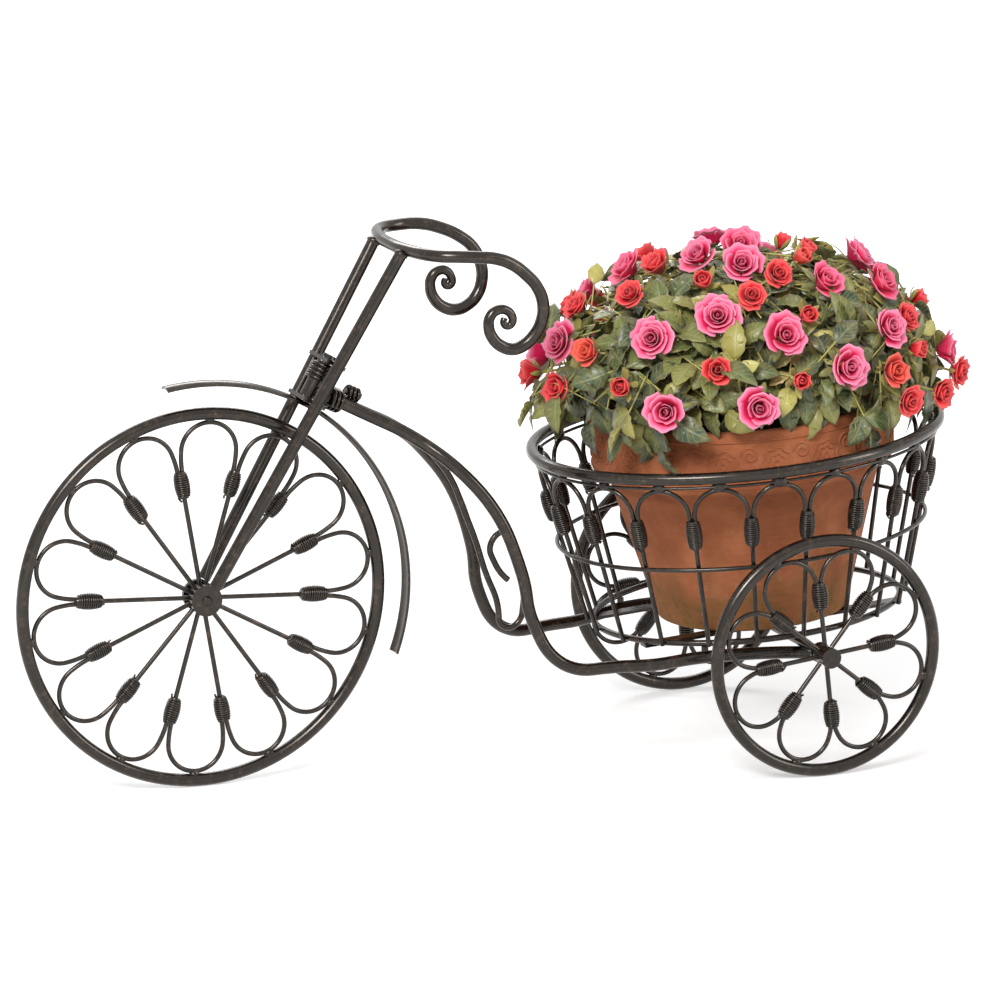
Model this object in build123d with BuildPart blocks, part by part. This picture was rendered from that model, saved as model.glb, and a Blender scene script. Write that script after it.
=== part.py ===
# Bicycle planter: a wrought-wire tricycle with a steering front wheel, an oval wire basket
# between two small rear wheels, and a potted rose that lifts out of the basket.
# Millimetres. X runs from the front wheel to the basket, Y across the machine, Z up from
# the ground. The origin lies on the ground under the middle of the overall length.
import os
from math import atan2, cos, pi, radians, sin, sqrt, tan

from build123d import *

os.makedirs("parts", exist_ok=True)

# Clearances
weld_gap = 0.2
running_gap = 0.1
end_gap = 0.4
fender_clearance = 17.0

# Tube and wire stock
tube_radius = 4.0
axle_radius = 3.0
petal_wire_radius = 1.5
spoke_radius = 1.5
upright_radius = 1.5
scroll_rod_radius = 2.0

# Wheels
front_wheel_radius = 121.0
rear_wheel_radius = 78.0
rim_tube_radius = 4.0
front_petal_count = 14
rear_petal_count = 8
front_wheel_turn = -3.0
rear_wheel_turn = 6.7
front_binding_place = 74.0
rear_binding_place = 39.0
front_petal_radius = 18.0
rear_petal_radius = 17.4
front_hub_radius = 8.0
front_hub_half_length = 6.5
rear_hub_radius = 6.0
rear_hub_half_length = 7.0
wheelbase = 373.2
rear_track = 233.0

# Wire bindings that hold two petals and a spoke, or two arches and an upright
binding_length = 16.0
binding_radius = 5.0
binding_end_radius = 3.4
binding_side_count = 8
wire_pair_offset = 1.6

# Fork, along the steering line that leans back from the front hub
steering_lean = 30.0
fork_length = 245.0
fork_bottom_spread = 11.0
fork_top_spread = 24.0
fork_disc_radius = 10.0
fork_disc_thickness = 3.0
front_axle_overhang = 1.5

# Head, by distance from the front hub along the steering line
plate_thickness = 2.5
plate_width = 16.0
upper_plate_width = 14.0
sleeve_length = 24.0
sleeve_radius = 6.0
pin_radius = 3.0
pin_head_radius = 5.0
pin_head_height = 2.5
pin_head_taper = 20.0
neck_rise = 4.9

# Fender
fender_radius = front_wheel_radius + fender_clearance
fender_width = 12.0
fender_crown = 1.6
fender_thickness = 1.5
fender_front_angle = 10.0
fender_rear_angle = 110.0

# Handlebar, a closed bow whose arms sweep back and curl down into scrolls
bar_reach = 85.0
bar_half_width = 61.5
bar_drop = 60.0
bar_reach_shares = [0, 0.15, 0.295, 0.675, 0.86, 0.96, 0.966, 0.877, 0.744, 0.59, 0.543, 0.613, 0.72, 0.73]
bar_width_shares = [0, 0.81, 0.925, 0.95, 0.93, 0.885, 0.835, 0.82, 0.82, 0.82, 0.81, 0.805, 0.79, 0.785]
bar_drop_shares = [0, 0, 0, 0.085, 0.265, 0.505, 0.725, 0.92, 1.01, 0.875, 0.69, 0.585, 0.645, 0.765]

# Frame tubes, from the neck down to the rails that pass under the rear axle
rail_spread = 75.5
rail_overrun = 10.0
tube_reach_shares = [0, 0.05, 0.095, 0.205, 0.266, 0.348, 0.399, 0.418, 0.462, 0.627, 0.78, 1]
tube_spread_shares = [0.058, 0.058, 0.072, 0.211, 0.387, 0.518, 0.583, 0.629, 0.68, 0.8, 0.93, 1]
tube_height_shares = [1, 0.958, 0.918, 0.814, 0.729, 0.555, 0.329, 0.159, 0.022, -0.02, 0.004, -0.008]

# Scroll rod that hangs from the neck between the two tubes
scroll_reach_shares = [0.115, 0.16, 0.225, 0.284, 0.34, 0.39, 0.436, 0.46, 0.446, 0.405, 0.386, 0.397, 0.424]
scroll_height_shares = [0.902, 0.862, 0.79, 0.68, 0.465, 0.223, 0.076, 0.19, 0.315, 0.425, 0.385, 0.31, 0.25]

# Windings, each one length of wire in turns round the head
winding_wire_radius = 1.2
winding_pitch = 2.9
winding_samples = 24
sleeve_winding_turns = 4
neck_winding_turns = 3
knot_winding_turns = 3
neck_winding_half_width = 11.0
neck_winding_half_height = 6.5
neck_winding_place = 10.6
knot_rod_radius = 2.2

# Basket: an oval wire cone, tilted up at the rear
basket_tilt = 4.5
basket_floor_place = 369.5
basket_depth = 114.5
basket_rim_half_length = 132.6
basket_rim_half_width = 115.3
basket_rim_end_radius = 103.0
basket_floor_share = 0.785
basket_rim_tube_radius = 3.75
basket_wire_radius = 1.4
basket_floor_ring_radius = 2.0
basket_upright_count = 20
basket_binding_place = 76.5
basket_mid_ring_place = 52.8
strap_width = 9.0
strap_thickness = 2.0
strap_spread = 40.0
post_radius = 2.2

# Rear axle
axle_cap_radius = 6.5
axle_cap_thickness = 2.0

# Pot, standing on the straps
pot_height = 139.0
pot_base_radius = 61.0
pot_body_top_radius = 82.0
pot_band_radius = 96.5
pot_band_height = 42.0
pot_band_rounding = 4.0
pot_wall = 7.0
pot_base_thickness = 9.0
drain_hole_radius = 8.0
pot_place = 4.0
soil_depth_below_rim = 14.0

# Rose bush: one leafy mound with blooms and buds sitting on it. Each flower has its share of a
# turn round the mound, counted from the rear, and its share of the way up to the top.
foliage_half_length = 128.0
foliage_half_width = 106.0
foliage_cap_height = 76.0
foliage_skirt_height = 14.0
foliage_skirt_radius = 116.0
foliage_neck_radius = 80.0
foliage_rise = 3.0
flower_gap = 0.3
bloom_radius = 14.5
bloom_height = 12.0
bud_radius = 8.0
bud_height = 9.0
flower_side_count = 8
flower_foot_share = 0.7
flower_mouth_share = 0.6
bloom_shares = [
    (0.57, 0.86),
    (0.82, 0.56),
    (0.68, 0.46),
    (0.618, 0.36),
    (0.74, 0.33),
    (0.785, 0.14),
    (0.64, 0.03),
    (0.71, 0.02),
    (0.845, 0.26),
    (0.44, 0.66),
    (0.72, 0.77),
    (0.82, 0.95),
    (0.935, 0.02),
    (0.975, 0.56),
    (0.9, 0.45),
    (0.5, 0.28),
    (0.4, 0.1),
    (0.37, 0.4),
    (0.31, 0.1),
    (0.28, 0.45),
    (0.2, 0.12),
    (0.16, 0.42),
    (0.08, 0.12),
    (0.24, 0.78),
    (0.05, 0.38),
]
bud_shares = [
    (0.425, 0.4),
    (0.545, 0.58),
    (0.5, 0.75),
    (0.72, 0.57),
    (0.93, 0.76),
    (0.865, 0.74),
    (0.775, 0.68),
    (0.65, 0.68),
    (0.555, 0.28),
    (0.6, 0.14),
    (0.68, 0.21),
    (0.745, 0.12),
    (0.77, 0.42),
    (0.83, 0.07),
    (0.87, 0.12),
    (0.88, 0.27),
    (0.98, 0.24),
    (0.465, 0.44),
    (0.53, 0.1),
    (0.45, 0.08),
    (0.355, 0.12),
    (0.33, 0.3),
    (0.25, 0.14),
    (0.21, 0.35),
    (0.13, 0.1),
    (0.1, 0.3),
    (0.33, 0.62),
    (0.12, 0.62),
    (0.03, 0.14),
]

# Where things stand: the front wheel and the rear of the basket's rim reach equally far
tilt = radians(basket_tilt)
rim_back = basket_rim_half_length * cos(tilt) - basket_depth * sin(tilt) + basket_rim_tube_radius
hub_x = (front_wheel_radius - basket_floor_place - rim_back) / 2
rear_axle_x = hub_x + wheelbase
sides = {"left": -1, "right": 1}
nearly_zero = 1e-6
path_halvings = 30
steering_way = Vector(sin(radians(steering_lean)), 0, cos(radians(steering_lean)))
front_hub_centre = Vector(hub_x, 0, front_wheel_radius)


def on_steering(distance, behind=0, across=0):
    """A point beside the steering line, at a distance up it from the front hub."""
    back = Vector(cos(radians(steering_lean)), 0, -sin(radians(steering_lean)))
    return front_hub_centre + steering_way * distance + back * behind + Vector(0, across, 0)


def steering_plane(distance, behind=0):
    """A plane square to the steering line, its X pointing backwards."""
    back = (cos(radians(steering_lean)), 0, -sin(radians(steering_lean)))
    return Plane(origin=on_steering(distance, behind), x_dir=back, z_dir=steering_way)


def arc_middle(start, end, way, way_is_at_start=True):
    """The middle of the arc between two points that touches a direction at one of them."""
    chord = end - start
    along = chord.normalized()
    side = way - along * way.dot(along)
    if side.length < nearly_zero:
        return None
    bulge = side.normalized() * (1 if way_is_at_start else -1)
    bend = atan2(side.length, way.dot(along))
    return (start + end) * 0.5 + bulge * (chord.length / 2 * tan(bend / 2))


def arc_or_line(start, end, way, way_is_at_start=True):
    """The arc that touches a direction at one end, or a line where there is no bend."""
    middle = arc_middle(start, end, way, way_is_at_start)
    if middle is None:
        Line(start, end)
    else:
        ThreePointArc(start, middle, end)


def biarc(start, start_way, end, end_way):
    """Two touching arcs that leave start one way and reach end another way."""
    gap = end - start
    along = gap.dot(start_way + end_way)
    spread = 2 * (1 - start_way.dot(end_way))
    if spread < nearly_zero**2:
        reach = gap.dot(gap) / (2 * along)
    else:
        reach = (sqrt(along * along + spread * gap.dot(gap)) - along) / spread
    middle = (start + start_way * reach + end - end_way * reach) * 0.5
    arc_or_line(start, middle, start_way)
    arc_or_line(middle, end, end_way, False)


def ways_through(points):
    """The direction of travel at each point of a smooth route."""
    ways = []
    for before, here, after in zip(points, points[1:], points[2:]):
        first = here - before
        second = after - here
        way = first.normalized() * second.length + second.normalized() * first.length
        ways.append(way.normalized())
    opening = (points[1] - points[0]).normalized()
    closing = (points[-1] - points[-2]).normalized()
    ways.insert(0, opening * (2 * opening.dot(ways[0])) - ways[0])
    ways.append(closing * (2 * closing.dot(ways[-1])) - ways[-1])
    return ways


def route(points, ways=None):
    """Arcs through a list of points, smooth at every one."""
    ways = ways or ways_through(points)
    for index in range(len(points) - 1):
        biarc(points[index], ways[index], points[index + 1], ways[index + 1])


def sweep_round(path, radius):
    """A round wire or tube along a path."""
    with BuildSketch(Plane(origin=path.line @ 0, z_dir=path.line % 0)) as section:
        Circle(radius)
    sweep(sections=section.sketch, path=path.line)


def oval(half_length, half_width, end_radius):
    """The centres, radii and joints of an oval made of four arcs."""
    end_centre = half_length - end_radius
    side_radius = (end_centre**2 + half_width**2 - end_radius**2) / (2 * (half_width - end_radius))
    side_centre = side_radius - half_width
    joint = atan2(side_centre, end_centre)
    return end_centre, end_radius, side_centre, side_radius, joint


def oval_point(half_length, half_width, end_radius, turn_share):
    """A point at a share of the way round an oval, counted along its length."""
    end_centre, end_radius, side_centre, side_radius, joint = oval(half_length, half_width, end_radius)
    end_run = end_radius * joint
    side_run = side_radius * (pi / 2 - joint)
    along = turn_share % 1 * 4 * (end_run + side_run)
    quarter = int(along / (end_run + side_run))
    rest = along - quarter * (end_run + side_run)
    if quarter % 2:
        rest = end_run + side_run - rest
    if rest <= end_run:
        angle = rest / end_radius
        x, y = end_centre + end_radius * cos(angle), end_radius * sin(angle)
    else:
        angle = joint + (rest - end_run) / side_radius
        x, y = side_radius * cos(angle), side_radius * sin(angle) - side_centre
    return (x if quarter in (0, 3) else -x), (y if quarter in (0, 1) else -y)


def oval_ring(plane, half_length, half_width, end_radius, wire_radius):
    """A wire ring along an oval in a plane."""
    end_centre, end_radius, side_centre, side_radius, joint = oval(half_length, half_width, end_radius)
    joint_x = end_centre + end_radius * cos(joint)
    joint_y = end_radius * sin(joint)
    corners = [(joint_x, -joint_y), (joint_x, joint_y), (-joint_x, joint_y), (-joint_x, -joint_y)]
    middles = [(half_length, 0), (0, half_width), (-half_length, 0), (0, -half_width)]
    with BuildLine() as path:
        for index, middle in enumerate(middles):
            ends = corners[index], middle, corners[(index + 1) % 4]
            ThreePointArc(*[plane.from_local_coords(Vector(*end)) for end in ends])
    sweep_round(path, wire_radius)


def save(piece, name):
    """Name a finished piece and write it out."""
    piece.part.label = name
    export_step(piece.part, "parts/" + name + ".step")


def wheel_plane(centre, turn=0):
    """The wheel's own plane, seen from the left side, turned about the axle."""
    return Plane(origin=centre, x_dir=(cos(radians(turn)), 0, sin(radians(turn))), z_dir=(0, -1, 0))


def wheel_rim(name, centre, radius):
    """The tyre-sized hoop of bent tube."""
    with BuildPart() as rim:
        with BuildSketch(Plane(origin=centre, x_dir=(1, 0, 0), z_dir=(0, -1, 0)).rotated((90, 0, 0))):
            with Locations((radius - rim_tube_radius, 0)):
                Circle(rim_tube_radius)
        revolve(axis=Axis(centre, (0, 1, 0)), revolution_arc=360)
    save(rim, name)


def wheel_hub(name, centre, radius, half_length):
    """The drum that turns on the axle."""
    with BuildPart(Plane(origin=centre, x_dir=(1, 0, 0), z_dir=(0, -1, 0))) as hub:
        Cylinder(radius, 2 * half_length)
        chamfer(hub.edges().filter_by(GeomType.CIRCLE), (radius - axle_radius) / 6)
        Cylinder(axle_radius + running_gap, 4 * half_length, mode=Mode.SUBTRACT)
    save(hub, name)


def wheel_spokes(name, centre, hub_radius, binding_place, count, first_turn):
    """Straight wires from the hub to each binding."""
    inner_end = hub_radius + weld_gap
    length = binding_place - binding_length / 2 - weld_gap - inner_end
    with BuildPart() as spokes:
        for index in range(count):
            turn = radians(first_turn + 360 * index / count)
            way = Vector(cos(turn), 0, sin(turn))
            with BuildSketch(Plane(origin=centre + way * inner_end, x_dir=(0, 1, 0), z_dir=way)):
                Circle(spoke_radius)
            extrude(amount=length)
    save(spokes, name)


def wheel_petals(name, centre, radius, petal_radius, binding_place, count, first_turn):
    """Wire arches that spring from one binding, touch the rim and come down to the next."""
    crown = radius - 2 * rim_tube_radius - weld_gap - petal_wire_radius
    bow_height = crown - petal_radius
    half_turn = pi / count
    foot = binding_place + binding_length / 2 + weld_gap
    foot_x = foot * sin(half_turn) - wire_pair_offset * cos(half_turn)
    foot_y = foot * cos(half_turn) + wire_pair_offset * sin(half_turn)
    with BuildPart() as petals:
        for index in range(count):
            plane = wheel_plane(centre, first_turn + 360 * (index + 0.5) / count - 90)
            outward = plane.y_dir
            leave = outward * cos(half_turn) + plane.x_dir * sin(half_turn)
            arrive = outward * -cos(half_turn) + plane.x_dir * sin(half_turn)
            placed = plane.from_local_coords
            feet = [placed(Vector(sign * foot_x, foot_y)) for sign in (1, -1)]
            shoulders = [placed(Vector(sign * petal_radius, bow_height)) for sign in (1, -1)]
            with BuildLine() as path:
                biarc(feet[0], leave, shoulders[0], outward)
                ThreePointArc(shoulders[0], placed(Vector(0, crown)), shoulders[1])
                biarc(shoulders[1], outward * -1, feet[1], arrive)
            sweep_round(path, petal_wire_radius)
    save(petals, name)


def stack(plane, outline, side_count):
    """A solid through polygons, given as heights over a plane and radii there."""
    sections = []
    for height, radius in outline:
        with BuildSketch(plane.offset(height)) as section:
            RegularPolygon(radius, side_count)
        sections.append(section.sketch)
    loft(sections=sections, ruled=True)


def binding(plane):
    """One barrel of close-wound wire, with tapered ends, centred on a plane."""
    half = binding_length / 2
    outline = [
        (-half, binding_end_radius),
        (-half / 3, binding_radius),
        (half / 3, binding_radius),
        (half, binding_end_radius),
    ]
    stack(plane, outline, binding_side_count)


def wheel_bindings(name, centre, place, count, first_turn):
    """The wound barrels that stand in a ring round the hub."""
    with BuildPart() as bindings:
        for index in range(count):
            turn = radians(first_turn + 360 * index / count)
            way = Vector(cos(turn), 0, sin(turn))
            binding(Plane(origin=centre + way * place, x_dir=(0, 1, 0), z_dir=way))
    save(bindings, name)


def wheel(name, centre, radius, petal_radius, binding_place, count, first_turn, hub_radius, hub_half_length):
    """A whole wheel, piece by piece."""
    wheel_rim(name + "_rim", centre, radius)
    wheel_hub(name + "_hub", centre, hub_radius, hub_half_length)
    wheel_spokes(name + "_spokes", centre, hub_radius, binding_place, count, first_turn)
    wheel_petals(name + "_petals", centre, radius, petal_radius, binding_place, count, first_turn)
    wheel_bindings(name + "_bindings", centre, binding_place, count, first_turn)


# Wheels
wheel(
    "front_wheel",
    front_hub_centre,
    front_wheel_radius,
    front_petal_radius,
    front_binding_place,
    front_petal_count,
    front_wheel_turn,
    front_hub_radius,
    front_hub_half_length,
)
for side, sign in sides.items():
    wheel(
        "rear_wheel_" + side,
        Vector(rear_axle_x, sign * rear_track / 2, rear_wheel_radius),
        rear_wheel_radius,
        rear_petal_radius,
        rear_binding_place,
        rear_petal_count,
        rear_wheel_turn,
        rear_hub_radius,
        rear_hub_half_length,
    )

# Front axle and the discs that the fork ends are welded to
disc_inside = front_hub_half_length + end_gap
axle_half_length = disc_inside + fork_disc_thickness + front_axle_overhang
across_hub = Plane(origin=front_hub_centre, x_dir=(1, 0, 0), z_dir=(0, -1, 0))

with BuildPart(across_hub) as front_axle:
    Cylinder(axle_radius, 2 * axle_half_length)
    chamfer(front_axle.edges().filter_by(GeomType.CIRCLE), axle_radius / 4)
save(front_axle, "front_axle")

with BuildPart() as fork_discs:
    for sign in sides.values():
        middle = disc_inside + fork_disc_thickness / 2
        with Locations(across_hub.offset(-sign * middle)):
            Cylinder(fork_disc_radius, fork_disc_thickness)
            Cylinder(axle_radius + weld_gap / 4, fork_disc_thickness, mode=Mode.SUBTRACT)
save(fork_discs, "fork_discs")

# Fork legs, which spread from the discs to the handlebar
leg_foot = fork_disc_radius + weld_gap
fork_flare = (fork_top_spread - fork_bottom_spread) / fork_length


def leg_spread(distance):
    """Half the distance between the fork legs at a place up the steering line."""
    return fork_bottom_spread + fork_flare * distance


for side, sign in sides.items():
    foot = on_steering(leg_foot, 0, sign * leg_spread(leg_foot))
    head = on_steering(fork_length, 0, sign * leg_spread(fork_length))
    with BuildPart() as fork_leg:
        with BuildSketch(Plane(origin=foot, x_dir=(0, 1, 0), z_dir=head - foot)):
            Circle(tube_radius)
        extrude(amount=(head - foot).length)
    save(fork_leg, "fork_leg_" + side)

# Handlebar
bar_centre = on_steering(fork_length + tube_radius + weld_gap)


def bar_points(sign):
    """The route of one arm, from the middle of the bow to the curled tip."""
    shares = zip(bar_reach_shares, bar_width_shares, bar_drop_shares)
    return [
        bar_centre + Vector(back * bar_reach, sign * out * bar_half_width, -down * bar_drop)
        for back, out, down in shares
    ]


arm = bar_points(-1)
bar_route = arm[:0:-1] + bar_points(1)
with BuildPart() as handlebar:
    with BuildLine() as bar_path:
        route(bar_route)
    sweep_round(bar_path, tube_radius)
save(handlebar, "handlebar")

# Plates across the fork, the lower one on the fender, and the pin that the frame's sleeve turns on
lower_plate_place = fender_radius + weld_gap
sleeve_bottom = lower_plate_place + plate_thickness + end_gap
sleeve_top = sleeve_bottom + sleeve_length
plate_places = {
    "fork_plate_lower": (lower_plate_place, plate_width),
    "fork_plate_upper": (sleeve_top + end_gap, upper_plate_width),
}
for name, (place, width) in plate_places.items():
    inner = leg_spread(place) - tube_radius - weld_gap
    with BuildPart() as plate:
        with BuildSketch(steering_plane(place)):
            Rectangle(width, 2 * inner)
            Circle(pin_radius + weld_gap / 4, mode=Mode.SUBTRACT)
        extrude(amount=plate_thickness)
    save(plate, name)

pin_top = sleeve_top + end_gap + plate_thickness
with BuildPart() as steering_pin:
    with BuildSketch(steering_plane(lower_plate_place)):
        Circle(pin_radius)
    extrude(amount=pin_top + weld_gap - lower_plate_place)
    with BuildSketch(steering_plane(pin_top + weld_gap)):
        Circle(pin_head_radius)
    extrude(amount=pin_head_height, taper=pin_head_taper)
save(steering_pin, "steering_pin")

# Fender, a crowned strip that hangs under the lower plate
fender_start = Plane(
    origin=front_hub_centre,
    x_dir=(0, 1, 0),
    z_dir=(cos(radians(fender_front_angle)), 0, sin(radians(fender_front_angle))),
)
fender_edge = fender_radius - fender_crown
with BuildPart() as front_fender:
    with BuildSketch(fender_start):
        with BuildLine():
            outer_edge = ThreePointArc(
                (-fender_width / 2, fender_edge), (0, fender_radius), (fender_width / 2, fender_edge)
            )
            Line(outer_edge @ 1, (fender_width / 2, fender_edge - fender_thickness))
            ThreePointArc(
                (fender_width / 2, fender_edge - fender_thickness),
                (0, fender_radius - fender_thickness),
                (-fender_width / 2, fender_edge - fender_thickness),
            )
            Line((-fender_width / 2, fender_edge - fender_thickness), outer_edge @ 0)
        make_face()
    revolve(axis=Axis(front_hub_centre, (0, 1, 0)), revolution_arc=fender_front_angle + fender_rear_angle)
save(front_fender, "front_fender")

# Steering sleeve on the frame
with BuildPart() as steering_sleeve:
    with BuildSketch(steering_plane(sleeve_bottom)):
        Circle(sleeve_radius)
        Circle(pin_radius + running_gap, mode=Mode.SUBTRACT)
    extrude(amount=sleeve_length)
save(steering_sleeve, "steering_sleeve")

# Frame tubes
neck = on_steering(sleeve_bottom + neck_rise)
rail_height = rear_wheel_radius - axle_radius - weld_gap - tube_radius
rail_end_x = rear_axle_x + rail_overrun
frame_reach = rail_end_x - neck.X
frame_drop = neck.Z - rail_height


def frame_points(sign):
    """The route of one frame tube, from the sleeve to its open end behind the axle."""
    shares = zip(tube_reach_shares, tube_spread_shares, tube_height_shares)
    return [
        Vector(neck.X + back * frame_reach, sign * out * rail_spread, rail_height + up * frame_drop)
        for back, out, up in shares
    ]


def point_at(path, x):
    """The point of a path that runs backwards at a place along X, found by halving."""
    low, high = 0, 1
    for _ in range(path_halvings):
        middle = (low + high) / 2
        if (path @ middle).X < x:
            low = middle
        else:
            high = middle
    return path @ low


tube_lines = []
for side, sign in sides.items():
    with BuildPart() as frame_tube:
        with BuildLine() as tube_path:
            route(frame_points(sign))
        tube_lines.append(tube_path.line)
        sweep_round(tube_path, tube_radius)
        with BuildSketch(steering_plane(sleeve_bottom)):
            Circle(sleeve_radius + weld_gap)
        extrude(amount=sleeve_length, mode=Mode.SUBTRACT)
    save(frame_tube, "frame_tube_" + side)

# Scroll rod
scroll_shares = zip(scroll_reach_shares, scroll_height_shares)
scroll_points = [
    Vector(neck.X + back * frame_reach, 0, rail_height + up * frame_drop) for back, up in scroll_shares
]
with BuildPart() as centre_scroll:
    with BuildLine() as scroll_path:
        route(scroll_points)
    sweep_round(scroll_path, scroll_rod_radius)
save(centre_scroll, "centre_scroll")


def winding(name, plane, half_width, half_height, turns):
    """One wire wound in turns about a plane's Z axis, with a straight bit at each end."""
    stops = [index / 4 for index in range(4 * turns + 1)]
    points = []
    ways = []
    for turn in stops:
        angle = 2 * pi * turn
        local = Vector(half_width * cos(angle), half_height * sin(angle), winding_pitch * turn)
        rise = winding_pitch / (2 * pi)
        local_way = Vector(-half_width * sin(angle), half_height * cos(angle), rise)
        points.append(plane.from_local_coords(local))
        ways.append((plane.from_local_coords(local_way) - plane.origin).normalized())
    tail = 2 * winding_wire_radius
    with BuildPart() as coil:
        with BuildLine() as path:
            Line(points[0] - ways[0] * tail, points[0])
            route(points, ways)
            Line(points[-1], points[-1] + ways[-1] * tail)
        sweep_round(path, winding_wire_radius)
    save(coil, name)
    steps = winding_samples * turns
    line = [path.line @ (index / steps) for index in range(steps + 1)]
    apart = min(
        (line[first] - line[second]).length
        for first in range(len(line))
        for second in range(first + winding_samples // 2, len(line))
    )
    print(name, "least gap to itself", round(apart - 2 * winding_wire_radius, 2))


# Windings round the sleeve, the neck of the two tubes, and a short rod that lies on them
sleeve_coil_radius = sleeve_radius + weld_gap + winding_wire_radius
winding(
    "sleeve_winding",
    steering_plane(sleeve_top - winding_wire_radius - sleeve_winding_turns * winding_pitch),
    sleeve_coil_radius,
    sleeve_coil_radius,
    sleeve_winding_turns,
)

neck_points = frame_points(0)
neck_way = (neck_points[1] - neck_points[0]).normalized()
winding(
    "neck_winding",
    Plane(origin=neck + neck_way * neck_winding_place, x_dir=(0, 1, 0), z_dir=neck_way),
    neck_winding_half_width,
    neck_winding_half_height,
    neck_winding_turns,
)

knot_coil_radius = knot_rod_radius + weld_gap + winding_wire_radius
knot_seat = tube_radius + weld_gap + winding_wire_radius + knot_coil_radius
knot_height = sqrt(knot_seat**2 - (rail_spread * tube_spread_shares[1]) ** 2)
knot_place = neck_winding_place + neck_winding_turns * winding_pitch + 2 * winding_wire_radius + weld_gap
knot_up = Vector(-neck_way.Z, 0, neck_way.X)
knot_start = Plane(
    origin=neck + neck_way * knot_place + knot_up * knot_height, x_dir=(0, 1, 0), z_dir=neck_way
)
with BuildPart() as knot_rod:
    with BuildSketch(knot_start.offset(-winding_wire_radius)):
        Circle(knot_rod_radius)
    extrude(amount=knot_winding_turns * winding_pitch + 2 * winding_wire_radius)
save(knot_rod, "knot_rod")
winding("knot_winding", knot_start, knot_coil_radius, knot_coil_radius, knot_winding_turns)

# Rear axle and its caps, which keep the wheels on
rear_axle_centre = Vector(rear_axle_x, 0, rear_wheel_radius)
across_axle = Plane(origin=rear_axle_centre, x_dir=(1, 0, 0), z_dir=(0, -1, 0))
rear_axle_half_length = rear_track / 2 + rear_hub_half_length + end_gap + axle_cap_thickness
with BuildPart(across_axle) as rear_axle:
    Cylinder(axle_radius, 2 * rear_axle_half_length)
save(rear_axle, "rear_axle")

with BuildPart() as axle_caps:
    for sign in sides.values():
        for reach in (1, -1):
            gap_to_hub = rear_hub_half_length + end_gap + axle_cap_thickness / 2
            with Locations(across_axle.offset(-sign * (rear_track / 2 + reach * gap_to_hub))):
                Cylinder(axle_cap_radius, axle_cap_thickness)
                Cylinder(axle_radius + weld_gap / 4, axle_cap_thickness, mode=Mode.SUBTRACT)
save(axle_caps, "axle_caps")

# Basket, built on the plane of its floor ring
strap_top = -(basket_floor_ring_radius + weld_gap)
strap_drop = strap_thickness - strap_top
axle_top = rear_wheel_radius + axle_radius + weld_gap
floor_height = axle_top + strap_drop / cos(tilt) - (wheelbase - basket_floor_place) * tan(tilt)
basket_plane = Plane(
    origin=(hub_x + basket_floor_place, 0, floor_height),
    x_dir=(cos(tilt), 0, sin(tilt)),
    z_dir=(-sin(tilt), 0, cos(tilt)),
)


def wall_size(height, outside=0):
    """The oval of the uprights at a height above the floor ring, grown by an offset."""
    share = basket_floor_share + (1 - basket_floor_share) * height / basket_depth
    return (
        basket_rim_half_length * share + outside,
        basket_rim_half_width * share + outside,
        basket_rim_end_radius * share + outside,
    )


def wall_point(turn_share, height, outside=0):
    """A point on the wall of the basket, in the row's own frame."""
    x, y = oval_point(*wall_size(height, outside), turn_share)
    return basket_plane.from_local_coords(Vector(x, y, height))


def wall_plane(turn_share, height):
    """A plane square to the upright at a place on the wall."""
    here = wall_point(turn_share, height)
    up = wall_point(turn_share, height + binding_length) - here
    step = 1 / basket_upright_count
    ahead = wall_point(turn_share + step, height) - wall_point(turn_share - step, height)
    return Plane(origin=here, x_dir=ahead, z_dir=up)


neck_ring_height = basket_depth - basket_rim_tube_radius - weld_gap - basket_wire_radius
floor_ring_offset = -(basket_floor_ring_radius + weld_gap + upright_radius)
mid_ring_offset = basket_wire_radius + weld_gap + upright_radius
basket_rings = {
    "basket_rim": (basket_depth, 0, basket_rim_tube_radius),
    "basket_neck_ring": (neck_ring_height, 0, basket_wire_radius),
    "basket_mid_ring": (basket_mid_ring_place, mid_ring_offset, basket_wire_radius),
    "basket_floor_ring": (0, floor_ring_offset, basket_floor_ring_radius),
}
for name, (height, outside, wire_radius) in basket_rings.items():
    with BuildPart() as ring:
        oval_ring(basket_plane.offset(height), *wall_size(height, outside), wire_radius)
    save(ring, name)

upright_shares = [index / basket_upright_count for index in range(basket_upright_count)]
binding_bottom = basket_binding_place - binding_length / 2
binding_top = basket_binding_place + binding_length / 2

with BuildPart() as basket_uprights:
    for share in upright_shares:
        foot = wall_point(share, -basket_floor_ring_radius / 2)
        head = wall_point(share, binding_bottom - weld_gap)
        with BuildSketch(Plane(origin=foot, z_dir=head - foot)):
            Circle(upright_radius)
        extrude(amount=(head - foot).length)
save(basket_uprights, "basket_uprights")

with BuildPart() as basket_bindings:
    for share in upright_shares:
        binding(wall_plane(share, basket_binding_place))
save(basket_bindings, "basket_bindings")

arch_foot = binding_top + weld_gap
arch_crown = neck_ring_height - basket_wire_radius - weld_gap - petal_wire_radius
with BuildPart() as basket_arches:
    for share in upright_shares:
        next_share = share + 1 / basket_upright_count
        near_foot = wall_point(share, arch_foot)
        far_foot = wall_point(next_share, arch_foot)
        across = far_foot - near_foot
        foot_middle = (near_foot + far_foot) * 0.5
        crown_middle = (wall_point(share, arch_crown) + wall_point(next_share, arch_crown)) * 0.5
        half_span = across.length / 2 - wire_pair_offset
        rise = (crown_middle - foot_middle).length
        sideways = across.normalized() * half_span
        up = (crown_middle - foot_middle).normalized()
        spring = foot_middle + up * (rise - half_span)
        with BuildLine() as path:
            Line(foot_middle - sideways, spring - sideways)
            ThreePointArc(spring - sideways, foot_middle + up * rise, spring + sideways)
            Line(spring + sideways, foot_middle + sideways)
        sweep_round(path, petal_wire_radius)
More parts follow.
